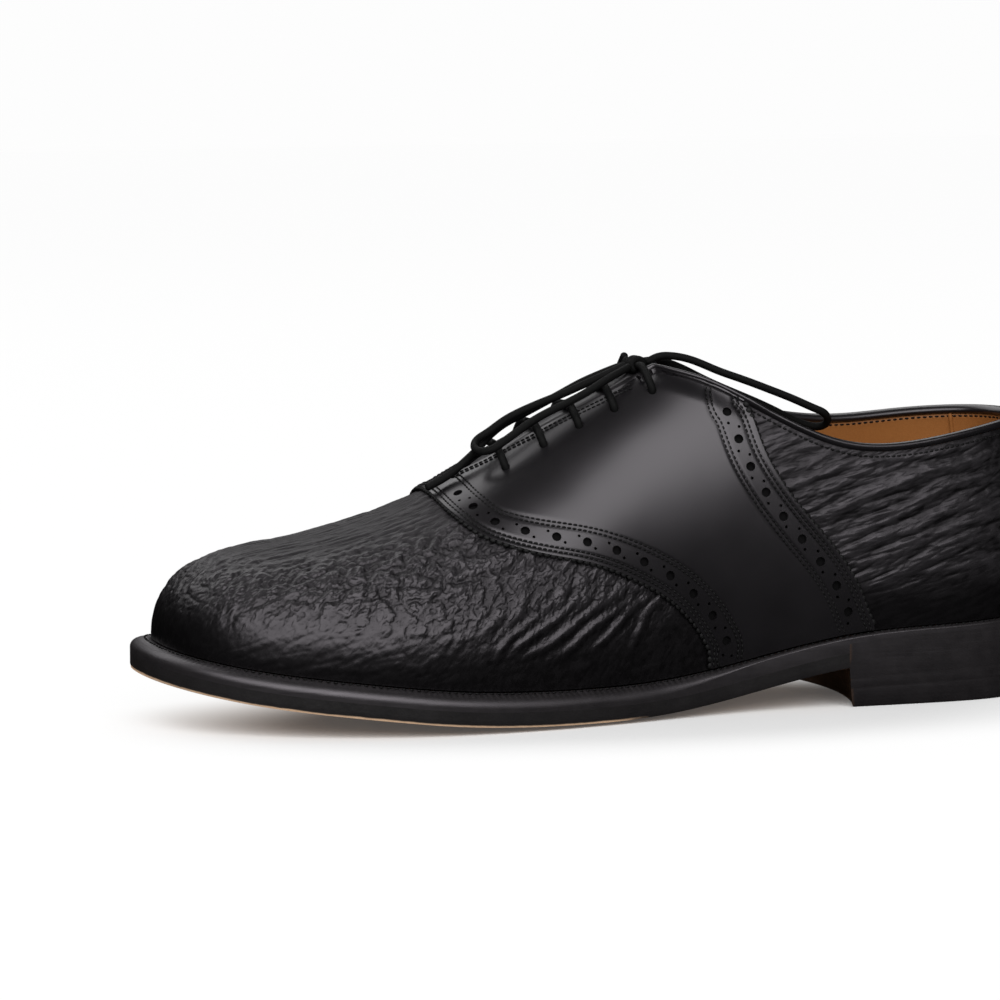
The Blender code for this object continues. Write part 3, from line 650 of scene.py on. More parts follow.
def pebbles(finish, angle, scale, stretch):
    """Rounded pads of the grain, drawn out along a direction that rises towards the heel."""
    turned = finish.mapped(Rotation=(0.0, np.radians(angle), 0.0))
    drawn = finish.mapped(turned, Scale=(stretch, 1.0, 1.0))
    return finish.ramp(finish.noise(scale, 1.2, drawn), 0.38, 0.64)


def grain_leather(name, angle, scale, stretch, strength, sheen):
    """Deep wrinkled black leather, with painted highlight on the tops of the wrinkles and painted shade in
    their valleys, darker where its depth is low.
    """
    finish = Finish(name, specular_ior_level=sheen, specular_tint=BLACK_SHEEN)
    relief = finish.attribute("relief")
    crown = finish.attribute("crown")
    depth = finish.attribute("depth")
    pores = finish.noise(2400.0, 3.0)
    side_pads = pebbles(finish, angle, scale, stretch)
    crown_lines = pebbles(finish, 14.0, 640.0, 0.28)
    pads = side_pads * (1 - crown) + crown_lines * crown * 0.6
    tops = finish.ramp(relief, 0.15, 0.95)
    # Painted light: base colour paler on raised grain and pads (painted highlight), darker in the valleys
    # (painted shade), all scaled by depth
    tone = (tops * 0.5 + pads * 0.5) * depth * (1 - 0.6 * crown)
    finish.shade(tone, (0.0014, 0.0013, 0.0014), (0.016, 0.0148, 0.0162))
    worn = (tops * 0.10 + pads * 0.07) * depth
    finish.feed("Roughness", 0.33 + 0.19 * depth + 0.12 * crown - worn + 0.08 * (pores - 0.5))
    finish.bump((pads + 0.25 * pores) * depth, strength, 0.00045)
    return finish.material


def smooth_calf(name, rough):
    """Smooth polished black calf."""
    finish = Finish(name, specular_ior_level=0.5, coat_roughness=0.22, specular_tint=BLACK_SHEEN)
    grain = finish.noise(2200.0, 3.0)
    clouds = finish.noise(45.0, 2.0)
    finish.shade(clouds, (0.003, 0.0028, 0.0031), (0.007, 0.0064, 0.0072))
    finish.feed("Roughness", rough + 0.08 * (clouds - 0.5) + 0.06 * (grain - 0.5))
    finish.feed("Coat Weight", 0.25 + 0.1 * clouds)
    finish.bump(grain, 0.12, 0.0001)
    return finish.material


def matt_black(name, specular, rough):
    """Black thread, cut edges and backing cloth, a little fuzzy."""
    finish = Finish(name, specular_ior_level=specular)
    fuzz = finish.noise(5000.0, 2.0)
    finish.shade(fuzz, (0.0015, 0.0015, 0.0015), (0.007, 0.0066, 0.007))
    finish.feed("Roughness", rough + 0.15 * fuzz)
    finish.bump(fuzz, 0.3, 0.0001)
    return finish.material


def lace_cord():
    """Round waxed black lace with a fine braid."""
    finish = Finish("lace_cord", specular_ior_level=0.13)
    run = finish.place("UV")
    waves = {"Vector": run, "Scale": 1.1, "Distortion": 1.5, "Detail": 1.0, "Detail Scale": 2.0}
    braid = finish.node("ShaderNodeTexWave", {"bands_direction": "DIAGONAL"}, waves, out="Fac")
    fuzz = finish.noise(3000.0, 3.0)
    tone = braid * 0.6 + fuzz * 0.4
    finish.shade(tone, (0.0010, 0.0010, 0.0010), (0.0045, 0.0045, 0.0045))
    finish.feed("Roughness", 0.55 + 0.2 * fuzz)
    finish.bump(tone, 0.5, 0.0002)
    return finish.material


def sole_edge_ink(name):
    """Black ink and wax on the cut edges of welt and heel, thin and brown on the heel's breast."""
    finish = Finish(name, specular_ior_level=0.85, specular_tint=BLACK_SHEEN)
    layers = finish.mapped(Scale=(40.0, 40.0, 900.0))
    fibres = finish.noise(1.0, 4.0, layers)
    wear = finish.noise(160.0, 3.0)
    black = finish.mix(wear, *INK)
    brown = finish.mix(fibres, colour(0.012, 0.007, 0.004), colour(0.05, 0.026, 0.012))
    finish.feed("Base Color", finish.mix(finish.attribute("breast"), black, brown))
    finish.feed("Roughness", 0.36 + 0.2 * (fibres - 0.4) + 0.1 * wear)
    finish.bump(fibres * 0.6 + wear * 0.4, 0.25, 0.0003)
    return finish.material


def outsole_leather():
    """Natural tan outsole with its cut edge inked black down to a thin tan line, painted over in black
    behind the ball as painted shade.
    """
    finish = Finish("outsole_leather", specular_ior_level=0.55)
    height = finish.attribute("edge_height")
    fibres = finish.noise(700.0, 4.0)
    ragged = finish.noise(120.0, 2.0)
    # Black ink on the edge, and from the waist back painted shade over the tan line
    ink_and_shade = finish.ramp(height + 0.12 * (ragged - 0.5), 0.10, 0.20)
    tan = finish.mix(fibres, colour(0.34, 0.21, 0.12), colour(0.50, 0.34, 0.22))
    black = finish.mix(ragged, *INK)
    finish.feed("Base Color", finish.mix(ink_and_shade, tan, black))
    finish.feed("Roughness", 0.62 - 0.24 * ink_and_shade + 0.15 * (fibres - 0.5))
    finish.bump(fibres, 0.3, 0.0003)
    return finish.material


def tan_lining():
    """Tan lining leather, a little darker in its pores."""
    finish = Finish("tan_lining", specular_ior_level=0.35)
    pores = finish.noise(1300.0, 4.0)
    clouds = finish.noise(40.0, 3.0)
    tone = pores * 0.35 + clouds * 0.65
    finish.shade(tone, (0.20, 0.068, 0.014), (0.36, 0.145, 0.038))
    finish.feed("Roughness", 0.55 + 0.15 * (pores - 0.5))
    finish.bump(pores, 0.2, 0.0002)
    return finish.material


FINISHES = {
    "vamp": grain_leather("vamp_grain", 55.0, 500.0, 0.65, 0.65, 0.48),
    "quarter": grain_leather("quarter_grain", 17.0, 560.0, 0.3, 0.35, 0.36),
    "saddle": smooth_calf("saddle_calf", 0.33),
    "binding": smooth_calf("binding_calf", 0.36),
    "tongue": smooth_calf("tongue_calf", 0.45),
    "thread": matt_black("thread", 0.2, 0.5),
    "gimping": matt_black("gimped_edge", 0.25, 0.55),
    "backing": matt_black("saddle_backing", 0.05, 0.8),
    "lace": lace_cord(),
    "welt": sole_edge_ink("welt_ink"),
    "heel": sole_edge_ink("heel_ink"),
    "outsole": outsole_leather(),
    "lining": tan_lining(),
}


# Mesh helpers

def pick(*things):
    """Select these objects alone, the first one active."""
    bpy.ops.object.select_all(action="DESELECT")
    for thing in things:
        thing.select_set(True)
    bpy.context.view_layer.objects.active = things[0]


def weld(thing):
    """Merge points that lie on each other."""
    pick(thing)
    bpy.ops.object.mode_set(mode="EDIT")
    bpy.ops.mesh.select_all(action="SELECT")
    bpy.ops.mesh.remove_doubles(threshold=WELD)
    bpy.ops.object.mode_set(mode="OBJECT")


def face_out(thing):
    """Turn the faces of a closed piece outwards."""
    pick(thing)
    bpy.ops.object.mode_set(mode="EDIT")
    bpy.ops.mesh.select_all(action="SELECT")
    bpy.ops.mesh.normals_make_consistent(inside=False)
    bpy.ops.object.mode_set(mode="OBJECT")


def crisp(thing, degrees):
    """Smooth shading with edges sharper than an angle left crisp."""
    pick(thing)
    bpy.ops.object.shade_smooth_by_angle(angle=np.radians(degrees))


def apply(thing, kind, **settings):
    """Add a modifier with these settings and apply it."""
    pick(thing)
    modifier = thing.modifiers.new(kind.lower(), kind)
    for key, value in settings.items():
        setattr(modifier, key, value)
    bpy.ops.object.modifier_apply(modifier=modifier.name)


def grid(name, points, finish, marks=None):
    """Grid primitive shaped to rows of points, with its UV map in millimetres and numbers on its points."""
    rows, count = points.shape[:2]
    bpy.ops.object.select_all(action="DESELECT")
    bpy.ops.mesh.primitive_grid_add(x_subdivisions=count - 1, y_subdivisions=rows - 1, size=1)
    thing = bpy.context.object
    thing.name = name
    mesh = thing.data
    mesh.name = name
    mesh.vertices.foreach_set("co", to_world(points).reshape(-1))
    along = chord_lengths(points[:, count // 2])
    across = chord_lengths(points[rows // 2])
    run = np.stack(np.meshgrid(across, along), -1).reshape(-1, 2) * 1000
    corners = np.zeros(len(mesh.loops), int)
    mesh.loops.foreach_get("vertex_index", corners)
    mesh.uv_layers.active.data.foreach_set("uv", run[corners].reshape(-1))
    for key, values in (marks or {}).items():
        mark = mesh.attributes.new(key, "FLOAT", "POINT")
        mark.data.foreach_set("value", np.asarray(values, np.float32).reshape(-1))
    mesh.materials.append(FINISHES[finish])
    mesh.shade_smooth()
    mesh.update()
    return thing


def join(name, things):
    """Several objects as one, welded where they meet."""
    pick(*things)
    bpy.ops.object.join()
    things[0].name = name
    things[0].data.name = name
    weld(things[0])
    return things[0]


def settle(thing, slot, *nodes):
    """Hand a finished piece to the frame: it rides on the shoe and stands for these solids."""
    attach(thing, "root")
    if nodes:
        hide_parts(*nodes)
    return thing


def copies(name, template, places, axes, finish):
    """Joined copies of a small mesh, each turned by its own three axes."""
    shape = np.array([point.co for point in template.data.vertices])
    faces = [tuple(face.vertices) for face in template.data.polygons]
    bpy.data.objects.remove(template, do_unlink=True)
    axes = np.stack(axes, 1)
    points = places[:, None] + np.einsum("nk,cka->cna", shape, axes)
    offsets = np.arange(len(places)) * len(shape)
    all_faces = [tuple(offset + k for k in face) for offset in offsets for face in faces]
    mesh = bpy.data.meshes.new(name)
    mesh.from_pydata(to_world(points).reshape(-1, 3), [], all_faces)
    mesh.materials.append(FINISHES[finish])
    thing = bpy.data.objects.new(name, mesh)
    bpy.context.scene.collection.objects.link(thing)
    face_out(thing)
    mesh.shade_smooth()
    return thing


def smooth_line(points, step):
    """Points at even steps on a smooth curve through a route."""
    points = np.array(points, float)
    chords = chord_lengths(points)
    curve = spline(chords, points)
    fine = curve(np.linspace(0, chords[-1], 40 * len(points)))
    runs = chord_lengths(fine)
    count = max(3, round(runs[-1] / step))
    wanted = np.linspace(0, runs[-1], count + 1)
    return np.stack([np.interp(wanted, runs, fine[:, axis]) for axis in range(3)], -1)


def tube(name, points, radius, finish, sides=12):
    """Round cord along points, with rounded ends."""
    along = unit(np.gradient(points, axis=0))
    normals = [unit(np.cross(along[0], (0.31, 0.87, 0.38)))]
    for direction in along[1:]:
        last = normals[-1]
        normals.append(unit(last - direction * np.dot(last, direction)))
    normals = np.array(normals)
    others = np.cross(along, normals)
    turn = np.linspace(0, 2 * np.pi, sides + 1)
    rings = normals[:, None] * np.cos(turn)[None, :, None] + others[:, None] * np.sin(turn)[None, :, None]
    body = points[:, None] + rings * radius
    caps = []
    for end, way in ((0, -1), (-1, 1)):
        tip = along[end] * way * radius * CAP_BULGE
        caps.append(np.array([points[end] + rings[end] * radius * np.cos(a) + tip * np.sin(a)
                              for a in np.radians((30, 60, 90))]))
    thing = grid(name, np.concatenate([caps[0][::-1], body, caps[1]]), finish)
    weld(thing)
    return thing


# The saddle's own net

def on_surface(side, targets, start):
    """Values of t and v of the surface points nearest to the targets, from a start guess."""
    place = np.array(start, float)
    for _ in range(12):
        t, v = place[:, 0], place[:, 1]
        here = rib(side, t, v)
        by_t = (rib(side, t + STEP, v) - here) / STEP
        by_v = (rib(side, t, v + STEP) - here) / STEP
        miss = targets - here
        a, b, c = (by_t * by_t).sum(-1), (by_t * by_v).sum(-1), (by_v * by_v).sum(-1)
        p, q = (by_t * miss).sum(-1), (by_v * miss).sum(-1)
        det = np.maximum(a * c - b * b, 1e-12)
        place += np.column_stack([(c * p - b * q) / det, (a * q - b * p) / det])
        place[:, 0] = np.clip(place[:, 0], 0.001, 0.999)
        place[:, 1] = np.clip(place[:, 1], 0.002, 1.0)
    return place


def edge_places(side, rows):
    """Values of t and v along one of the saddle's edges, from its top to the feather line."""
    rows = np.array(rows)
    curve = spline(chord_lengths(rows), rows)
    station, apart, height = curve(np.linspace(0, chord_lengths(rows)[-1], 160)).T
    targets = np.column_stack([station, RIDGE["shift"](station) + side * apart, height])
    t_tries, v_tries = np.meshgrid(np.linspace(0.1, 0.9, 161), np.linspace(0.01, 1, 80))
    cloud = rib(side, t_tries.ravel(), v_tries.ravel())
    nearest = [int(np.argmin(((cloud - target) ** 2).sum(-1))) for target in targets]
    start = np.column_stack([t_tries.ravel()[nearest], v_tries.ravel()[nearest]])
    return on_surface(side, targets, start)


def even(places, side, shares):
    """Places on a line of t and v, at shares of its length on the surface."""
    runs = chord_lengths(rib(side, places[:, 0], places[:, 1]))
    wanted = np.asarray(shares) * runs[-1]
    return np.stack([np.interp(wanted, runs, places[:, k]) for k in range(2)], -1)


def crowded(count, margin):
    """Shares from 0 to 1 that crowd together at both ends."""
    ends = margin * np.array([0, 0.25, 0.6, 1.0])
    middle = np.linspace(margin, 1 - margin, count - 6)
    return np.concatenate([ends[:-1], middle, 1 - ends[:-1][::-1]])


class SaddleNet:
    """Net over one side of the saddle, from front edge to rear edge and from feather line to top edge."""

    def __init__(self, side):
        self.side = side
        across, upwards = crowded(150, 0.012), crowded(120, 0.012)
        front = edge_places(side, SADDLE_FRONT_ROWS)
        front[0] = place_at(SADDLE_FRONT_ROWS[0][0]), 1.0
        front[-1, 1] = FOOT
        rear = edge_places(side, SADDLE_REAR_ROWS)
        rear[0, 1] = RIM[side](rear[0, 0])
        rear[-1, 1] = FOOT
        run = np.linspace(front[0, 0], rear[0, 0], 400)
        top = np.column_stack([run, RIM[side](run)])
        run = np.linspace(front[-1, 0], rear[-1, 0], 400)
        foot = np.column_stack([run, np.full_like(run, FOOT)])
        f, r = even(front[::-1], side, upwards), even(rear[::-1], side, upwards)
        b, t = even(foot, side, across), even(top, side, across)
        u, w = across[None, :, None], upwards[:, None, None]
        corners = ((1 - u) * (1 - w) * f[0] + u * (1 - w) * r[0] + (1 - u) * w * f[-1] + u * w * r[-1])
        net = (1 - u) * f[:, None] + u * r[:, None] + (1 - w) * b[None] + w * t[None] - corners
        self.t, self.v = net[..., 0], np.minimum(net[..., 1], 1.0)
        self.points = rib(side, self.t, self.v)
        self.normals = rib_normal(side, self.t, self.v)
        self.from_front = self.distance(rib(side, front[:, 0], front[:, 1]))
        spread = BAND_SPREAD * smoothstep(0.058, 0.090, self.points[..., 2])
        self.from_rear = self.distance(rib(side, rear[:, 0], rear[:, 1])) - spread
        self.edges = {"front": front, "rear": rear}
        self.from_top = self.distance(rib(side, top[:, 0], top[:, 1]))

    def distance(self, line):
        """Distance of the net's points from a line of points."""
        best = np.full(self.t.shape, np.inf)
        for point in line:
            best = np.minimum(best, np.linalg.norm(self.points - point, axis=-1))
        return best

    def level(self, field, value, last):
        """Places from the top down where a distance field has a value, one on each row of the net."""
        found = []
        for t, v, row in zip(self.t, self.v, field):
            crossing = np.flatnonzero((row[:-1] - value) * (row[1:] - value) <= 0)
            if len(crossing):
                k = crossing[-1 if last else 0]
                share = (value - row[k]) / (row[k + 1] - row[k] + 1e-12)
                found.append((t[k] + share * (t[k + 1] - t[k]), v[k] + share * (v[k + 1] - v[k])))
        return np.array(found[::-1])


NETS = {side: SaddleNet(side) for side in SIDES}


def band_lines(side):
    """Lines of t and v along both bands, by the distance from their edges."""
    net = NETS[side]
    pins = (BAND_HOLES - PIN_APART / 2, BAND_HOLES + PIN_APART / 2)
    lines = {}
    for distance in BAND_SEAMS + (BAND_HOLES,) + pins:
        lines["front", distance] = net.level(net.from_front, distance, False)
        lines["rear", distance] = net.level(net.from_rear, distance, True)
    return lines


def steps_along(side, line, first, step, out):
    """Places, directions and normals at even steps along a line of t and v on the surface."""
    runs = chord_lengths(rib(side, line[:, 0], line[:, 1]))
    wanted = np.arange(first, runs[-1] - step / 4, step)
    t, v = (np.interp(wanted, runs, line[:, k]) for k in range(2))
    ahead = [np.interp(wanted + 0.0004, runs, line[:, k]) for k in range(2)]
    behind = [np.interp(wanted - 0.0004, runs, line[:, k]) for k in range(2)]
    normal = rib_normal(side, t, v)
    along = unit(rib(side, *ahead) - rib(side, *behind))
    return rib(side, t, v) + normal * out, along, normal


def gathered(runs):
    """Places, directions and normals of several runs as one."""
    return (np.concatenate([run[k] for run in runs]) for k in range(3))


def stitch_copies(name, runs):
    """Stitches lying along runs of places, directions and normals."""
    bpy.ops.mesh.primitive_uv_sphere_add(segments=6, ring_count=4, radius=0.5)
    places, along, normal = gathered(runs)
    side = np.cross(normal, along)
    axes = (side * STITCH_WIDE, normal * STITCH_WIDE * 0.8, along * STITCH_LONG)
    return copies(name, bpy.context.object, places, axes, "thread")


def hole_cutters(name, runs):
    """Round punches standing on the surface; each run has places, directions, normals and a width."""
    bpy.ops.mesh.primitive_cylinder_add(vertices=14, radius=0.5, depth=1)
    places, along, normal = gathered(runs)
    wide = np.concatenate([np.full(len(run[0]), run[3]) for run in runs])[:, None]
    axes = (along * wide, np.cross(normal, along) * wide, normal * 4 * SADDLE_WALL)
    return copies(name, bpy.context.object, places, axes, "saddle")


def eyelet_place(side, station, distance):
    """Value of t and v of an eyelet."""
    t = place_at(station)
    return t, beside_ridge(side, t, distance)


LINES = {side: band_lines(side) for side in SIDES}


def make_saddle(side):
    """Saddle with pinked bands, sunken seams and eyelets."""
    net = NETS[side]
    out = np.full(net.t.shape, OUTSIDE)
    for field in (net.from_front, net.from_rear):
        for seam in BAND_SEAMS:
            out -= SEAM_DIP * np.exp(-((field - seam) / SEAM_DIP_WIDE) ** 2)
    out += SADDLE_SWELL * noise(net.points / SADDLE_SWELL_LONG, SADDLE_SEED)
    collar = net.t < place_at(BINDING_END + 0.002)
    out -= collar * (OUTSIDE - SINK) * smoothstep(SADDLE_TUCK, 0.0, net.from_top)
    points = net.points + net.normals * out[..., None]
    thing = grid("saddle_calf_" + SIDE_NAMES[side], points[:, ::-side], "saddle")
    apply(thing, "SOLIDIFY", thickness=SADDLE_WALL - 0.0001, offset=-1)
    runs = []
    for band in ("front", "rear"):
        line = LINES[side][band, BAND_HOLES]
        first, step = HOLE_STARTS[band], HOLE_STEPS[band]
        runs.append((*steps_along(side, line, first, step, OUTSIDE), HOLE_WIDE))
        for shift in (-PIN_APART / 2, PIN_APART / 2):
            pins = LINES[side][band, BAND_HOLES + shift]
            runs.append((*steps_along(side, pins, first + step / 2, step, OUTSIDE), PIN_WIDE))
    eyelets = np.array([eyelet_place(side, *row) for row in EYELET_ROWS])
    runs.append((*steps_at(side, eyelets), EYELET_WIDE))
    cutter = hole_cutters("punches", runs)
    apply(thing, "BOOLEAN", operation="DIFFERENCE", solver="EXACT", object=cutter)
    bpy.data.objects.remove(cutter, do_unlink=True)
    crisp(thing, 35)
    settle(thing, "saddle_calf", "saddle_" + SIDE_NAMES[side])


def steps_at(side, line):
    """Places, directions and normals at given values of t and v."""
    t, v = line.T
    normal = rib_normal(side, t, v)
    return rib(side, t, v) + normal * OUTSIDE, rib_tangents(side, t, v)[0], normal


def make_backing(side):
    """Layer under the saddle, seen through its holes and at the facing's edge."""
    net = NETS[side]
    points = (net.points + net.normals * (GAP - 0.0002))[::3, ::3]
    thing = grid("saddle_backing_" + SIDE_NAMES[side], points[:, ::-side], "backing")
    apply(thing, "SOLIDIFY", thickness=BACKING_THICK, offset=-1)
    settle(thing, "saddle_calf")


def make_gimped_edges():
    """Small round teeth along the saddle's front and rear edges."""
    runs = []
    for side in SIDES:
        for band in ("front", "rear"):
            edge = NETS[side].edges[band]
            runs.append(steps_along(side, edge, GIMP_STEP / 2, GIMP_STEP, GAP + SADDLE_WALL * 0.42))
    bpy.ops.mesh.primitive_uv_sphere_add(segments=8, ring_count=5, radius=0.5)
    places, along, normal = gathered(runs)
    axes = (np.cross(normal, along) * GIMP_WIDE, normal * SADDLE_WALL, along * GIMP_STEP * 1.02)
    settle(copies("saddle_gimping", bpy.context.object, places, axes, "gimping"), "saddle_calf")


def make_saddle_seams():
    """Stitching of the bands and along the facings."""
    runs = []
    for side in SIDES:
        for band, first in (("front", STITCH_STEP / 2), ("rear", REAR_STITCH_START)):
            for seam in BAND_SEAMS:
                line = LINES[side][band, seam]
                runs.append(steps_along(side, line, first, STITCH_STEP, OUTSIDE - 0.0001))
        facing = np.linspace(place_at(FACING_LOW), place_at(FACING_TOP), 200)
        for distance in FACING_SEAMS:
            line = []
            for t in facing:
                line.append((t, beside_ridge(side, t, slit_half(apex_station(t)) + distance)))
            runs.append(steps_along(side, np.array(line), 0.0, STITCH_STEP, OUTSIDE))
    settle(stitch_copies("saddle_stitches", runs), "lace_cord")


# Vamp and quarters

def wrinkles(points, layers):
    """Height of the grain in metres: rounded pads with sharp valleys, drawn out along a direction."""
    height = np.zeros(points.shape[:-1])
    for wavelength, along, reach, size, seed in layers:
        pads = np.abs(streaks(points, along, wavelength, reach, seed))
        height += size * (np.minimum(pads, 1.7) - 0.75)
    return height


def folds(points, lines, wide):
    """Soft ridges with a trough on each side, along lines of station and height, fading at their ends."""
    total = np.zeros(points.shape[:-1])
    shares = np.linspace(0, 1, FOLD_STEPS)
    for line in lines:
        runs = chord_lengths(np.array(line))
        crest = spline(runs, line)(shares * runs[-1])
        apart = np.full(total.shape, np.inf)
        fade = np.zeros(total.shape)
        for share, point in zip(shares, crest):
            here = np.linalg.norm(points[..., ::2] - point, axis=-1)
            fade = np.where(here < apart, np.sin(np.pi * share), fade)
            apart = np.minimum(apart, here)
        spread = (apart / wide) ** 2
        total += np.sqrt(fade) * (1 - spread) * np.exp(-spread / 2)
    return total


def trim(thing, keep):
    """Remove the faces none of whose points are kept."""
    pick(thing)
    bpy.ops.object.mode_set(mode="EDIT")
    bpy.ops.mesh.select_mode(type="FACE")
    bpy.ops.mesh.select_all(action="DESELECT")
    bpy.ops.object.mode_set(mode="OBJECT")
    kept = np.asarray(keep).reshape(-1)
    faces = thing.data.polygons
    faces.foreach_set("select", [not kept[list(face.vertices)].any() for face in faces])
    bpy.ops.object.mode_set(mode="EDIT")
    bpy.ops.mesh.delete(type="FACE")
    bpy.ops.mesh.select_mode(type="VERT")
    bpy.ops.object.mode_set(mode="OBJECT")


def grain_half(finish, side, t, v, layers, main, marks, keep, under):
    """One side of a wrinkled piece, flat and sunk under the saddle's edge and left out deep under it."""
    points = rib(side, t, v)
    height = (wrinkles(points, layers) + main) * (1 - under) - SINK * under
    points = points + rib_normal(side, t, v) * height[..., None]
    # Grain height; the grain leather also uses it for its painted highlight on the raised grain and painted
    # shade in the valleys
    marks["relief"] = np.clip(0.5 + height / RELIEF_SPAN, 0, 1)
    marks = {key: value[:, ::side] for key, value in marks.items()}
    half = grid("%s_%s" % (finish, SIDE_NAMES[side]), points[:, ::side], finish, marks)
    trim(half, keep[:, ::side])
    return half


def make_vamp():
    """Wrinkled leather from the toe to under the saddle's front band."""
    halves = []
    for side in SIDES:
        front = NETS[side].edges["front"]
        front = front[np.argsort(front[:, 0])]
        t = np.concatenate([np.linspace(front[0, 0] - 0.02, 0.86, 240), np.linspace(0.86, 1, 80)[1:]])
        t, v = np.meshgrid(t, np.linspace(0, 1, 165))
        edge = np.interp(t, front[:, 0], front[:, 1])
        keep = (v < edge + 0.08) | (t > front[-1, 0] - 0.015)
        under = smoothstep(edge + 0.004, edge + 0.03, v)
        points = rib(side, t, v)
        station = points[..., 0]
        toe = smoothstep(0.225, 0.275, station)
        back = smoothstep(0.232, 0.185, station)
        low = 0.12 + 0.88 * smoothstep(0.10, 0.46, v)
        crown = smoothstep(0.52, 0.80, v)
        slant = flow(side, t, v, np.radians(VAMP_SLANT + TOE_SLANT * toe))
        level = flow(side, t, v, np.radians(CROWN_SLANT))
        body = low * (1 - 0.4 * toe) * (1 - 0.88 * crown)
        layers = (
            (0.0046, slant, 0.0012 + 0.0068 * back + 0.0024 * toe, 0.00054 * body * (1 + 0.5 * back), 11),
            (0.0026, slant, 0.0006 + 0.0022 * back, 0.00028 * body, 12),
            (0.0028, level, 0.0080, 0.00006 + 0.00020 * crown, 13),
        )
        main = VAMP_FOLD_HIGH * folds(points, VAMP_FOLDS, VAMP_FOLD_WIDE)
        # depth: deeper grain, and in the grain leather a paler colour at the back of the vamp and a darker
        # one towards the sole
        marks = {"crown": crown, "depth": low * (1 - 0.3 * toe) * (1 + 0.7 * back)}
        halves.append(grain_half("vamp", side, t, v, layers, main, marks, keep, under))
    settle(join("vamp", halves), "upper_grain", "upper")


def make_quarters():
    """Wrinkled leather from under the saddle's rear band round the heel."""
    halves = []
    for side in SIDES:
        rear = NETS[side].edges["rear"]
        rear = rear[np.argsort(rear[:, 0])]
        t, share = np.meshgrid(np.linspace(0, rear[-1, 0] + 0.012, 230), np.linspace(0, 1, 165))
        v = share * RIM[side](t)
        edge = np.interp(t, rear[:, 0], rear[:, 1], left=0.0)
        keep = v > edge - 0.08
        under = smoothstep(edge - 0.004, edge - 0.03, v)
        points = rib(side, t, v)
        low = 0.12 + 0.88 * smoothstep(0.10, 0.40, share)
        near_top = smoothstep(1.0, 0.93, share)
        level = flow(side, t, v, np.radians(QUARTER_SLANT))
        layers = (
            (0.0042, level, 0.0140, 0.00036 * low * near_top, 21),
            (0.0022, level, 0.0050, 0.00016 * low * near_top, 22),
        )
        main = QUARTER_FOLD_HIGH * near_top * folds(points, QUARTER_FOLDS, QUARTER_FOLD_WIDE)
        marks = {"crown": np.zeros_like(t), "depth": low}
        halves.append(grain_half("quarter", side, t, v, layers, main, marks, keep, under))
    settle(join("quarters", halves), "upper_grain")


def make_lining():
    """Tan lining inside the upper, from the topline down to the insole."""
    halves = []
    for side in SIDES:
        t = np.linspace(0, 1, 160)
        apex = apex_station(t)
        top = RIM[side](t) - 0.035 * smoothstep(0.134, 0.142, apex) * (apex < THROAT)
        v = np.linspace(0, 1, 40)[:, None] * top[None]
        t = np.broadcast_to(t, v.shape)
        points = surface(side, t, v, np.full(t.shape, -LINING_DEPTH))
        halves.append(grid("lining_" + SIDE_NAMES[side], points[:, ::side], "lining"))
    thing = join("lining", halves)
    apply(thing, "SOLIDIFY", thickness=UPPER_WALL - LINING_DEPTH, offset=-1)
    settle(thing, "insole_leather")
    seam = [surface(INNER, np.array(LINING_SEAM), np.array(v), np.array(-UPPER_WALL))
            for v in np.linspace(0.12, 1, 30) * RIM[INNER](LINING_SEAM)]
    settle(tube("lining_seam", smooth_line(seam, 0.002), 0.0007, "lining"), "insole_leather")


def make_binding():
    """Rolled binding of the topline, with its row of stitches on the outside and on the lining."""
    sections = []
    outside, inside = [], []
    corner = place_at(BINDING_END)
    for side in (INNER, OUTER):
        t = np.linspace(corner, 0, 170)[:-1] if side == INNER else np.linspace(0, corner, 170)
        v = RIM[side](t)
        edge = rib(side, t, v)
        out = rib_normal(side, t, v)
        up = rib_tangents(side, t, v)[1]
        rear = NETS[side].edges["rear"][0, 0]
        over = smoothstep(rear - 0.03, rear - 0.006, t)[:, None]
        centre = edge + up * (BINDING_HIGH / 2) + out * (0.0007 * over - 0.0008)
        ring = []
        for turn in np.linspace(0, 2 * np.pi, 17):
            wide = BINDING_WIDE / 2 + 0.0002
            ring.append(centre + out * np.cos(turn) * wide + up * np.sin(turn) * BINDING_HIGH / 2)
        sections.append(np.stack(ring, 1))
        line = np.column_stack([t, v - 0.012])[t < rear]
        outside.append(steps_along(side, line, 0.0, COLLAR_STITCH_STEP, 0.0002))
        line = np.column_stack([t, v - 0.005])
        place, along, normal = steps_along(side, line, 0.0, LINING_STITCH_STEP, -UPPER_WALL)
        inside.append((place, along, -normal))
    thing = grid("collar_binding_roll", np.vstack(sections), "binding")
    weld(thing)
    settle(thing, "binding_calf", "collar_binding")
    settle(stitch_copies("collar_stitches", outside + inside), "lace_cord")


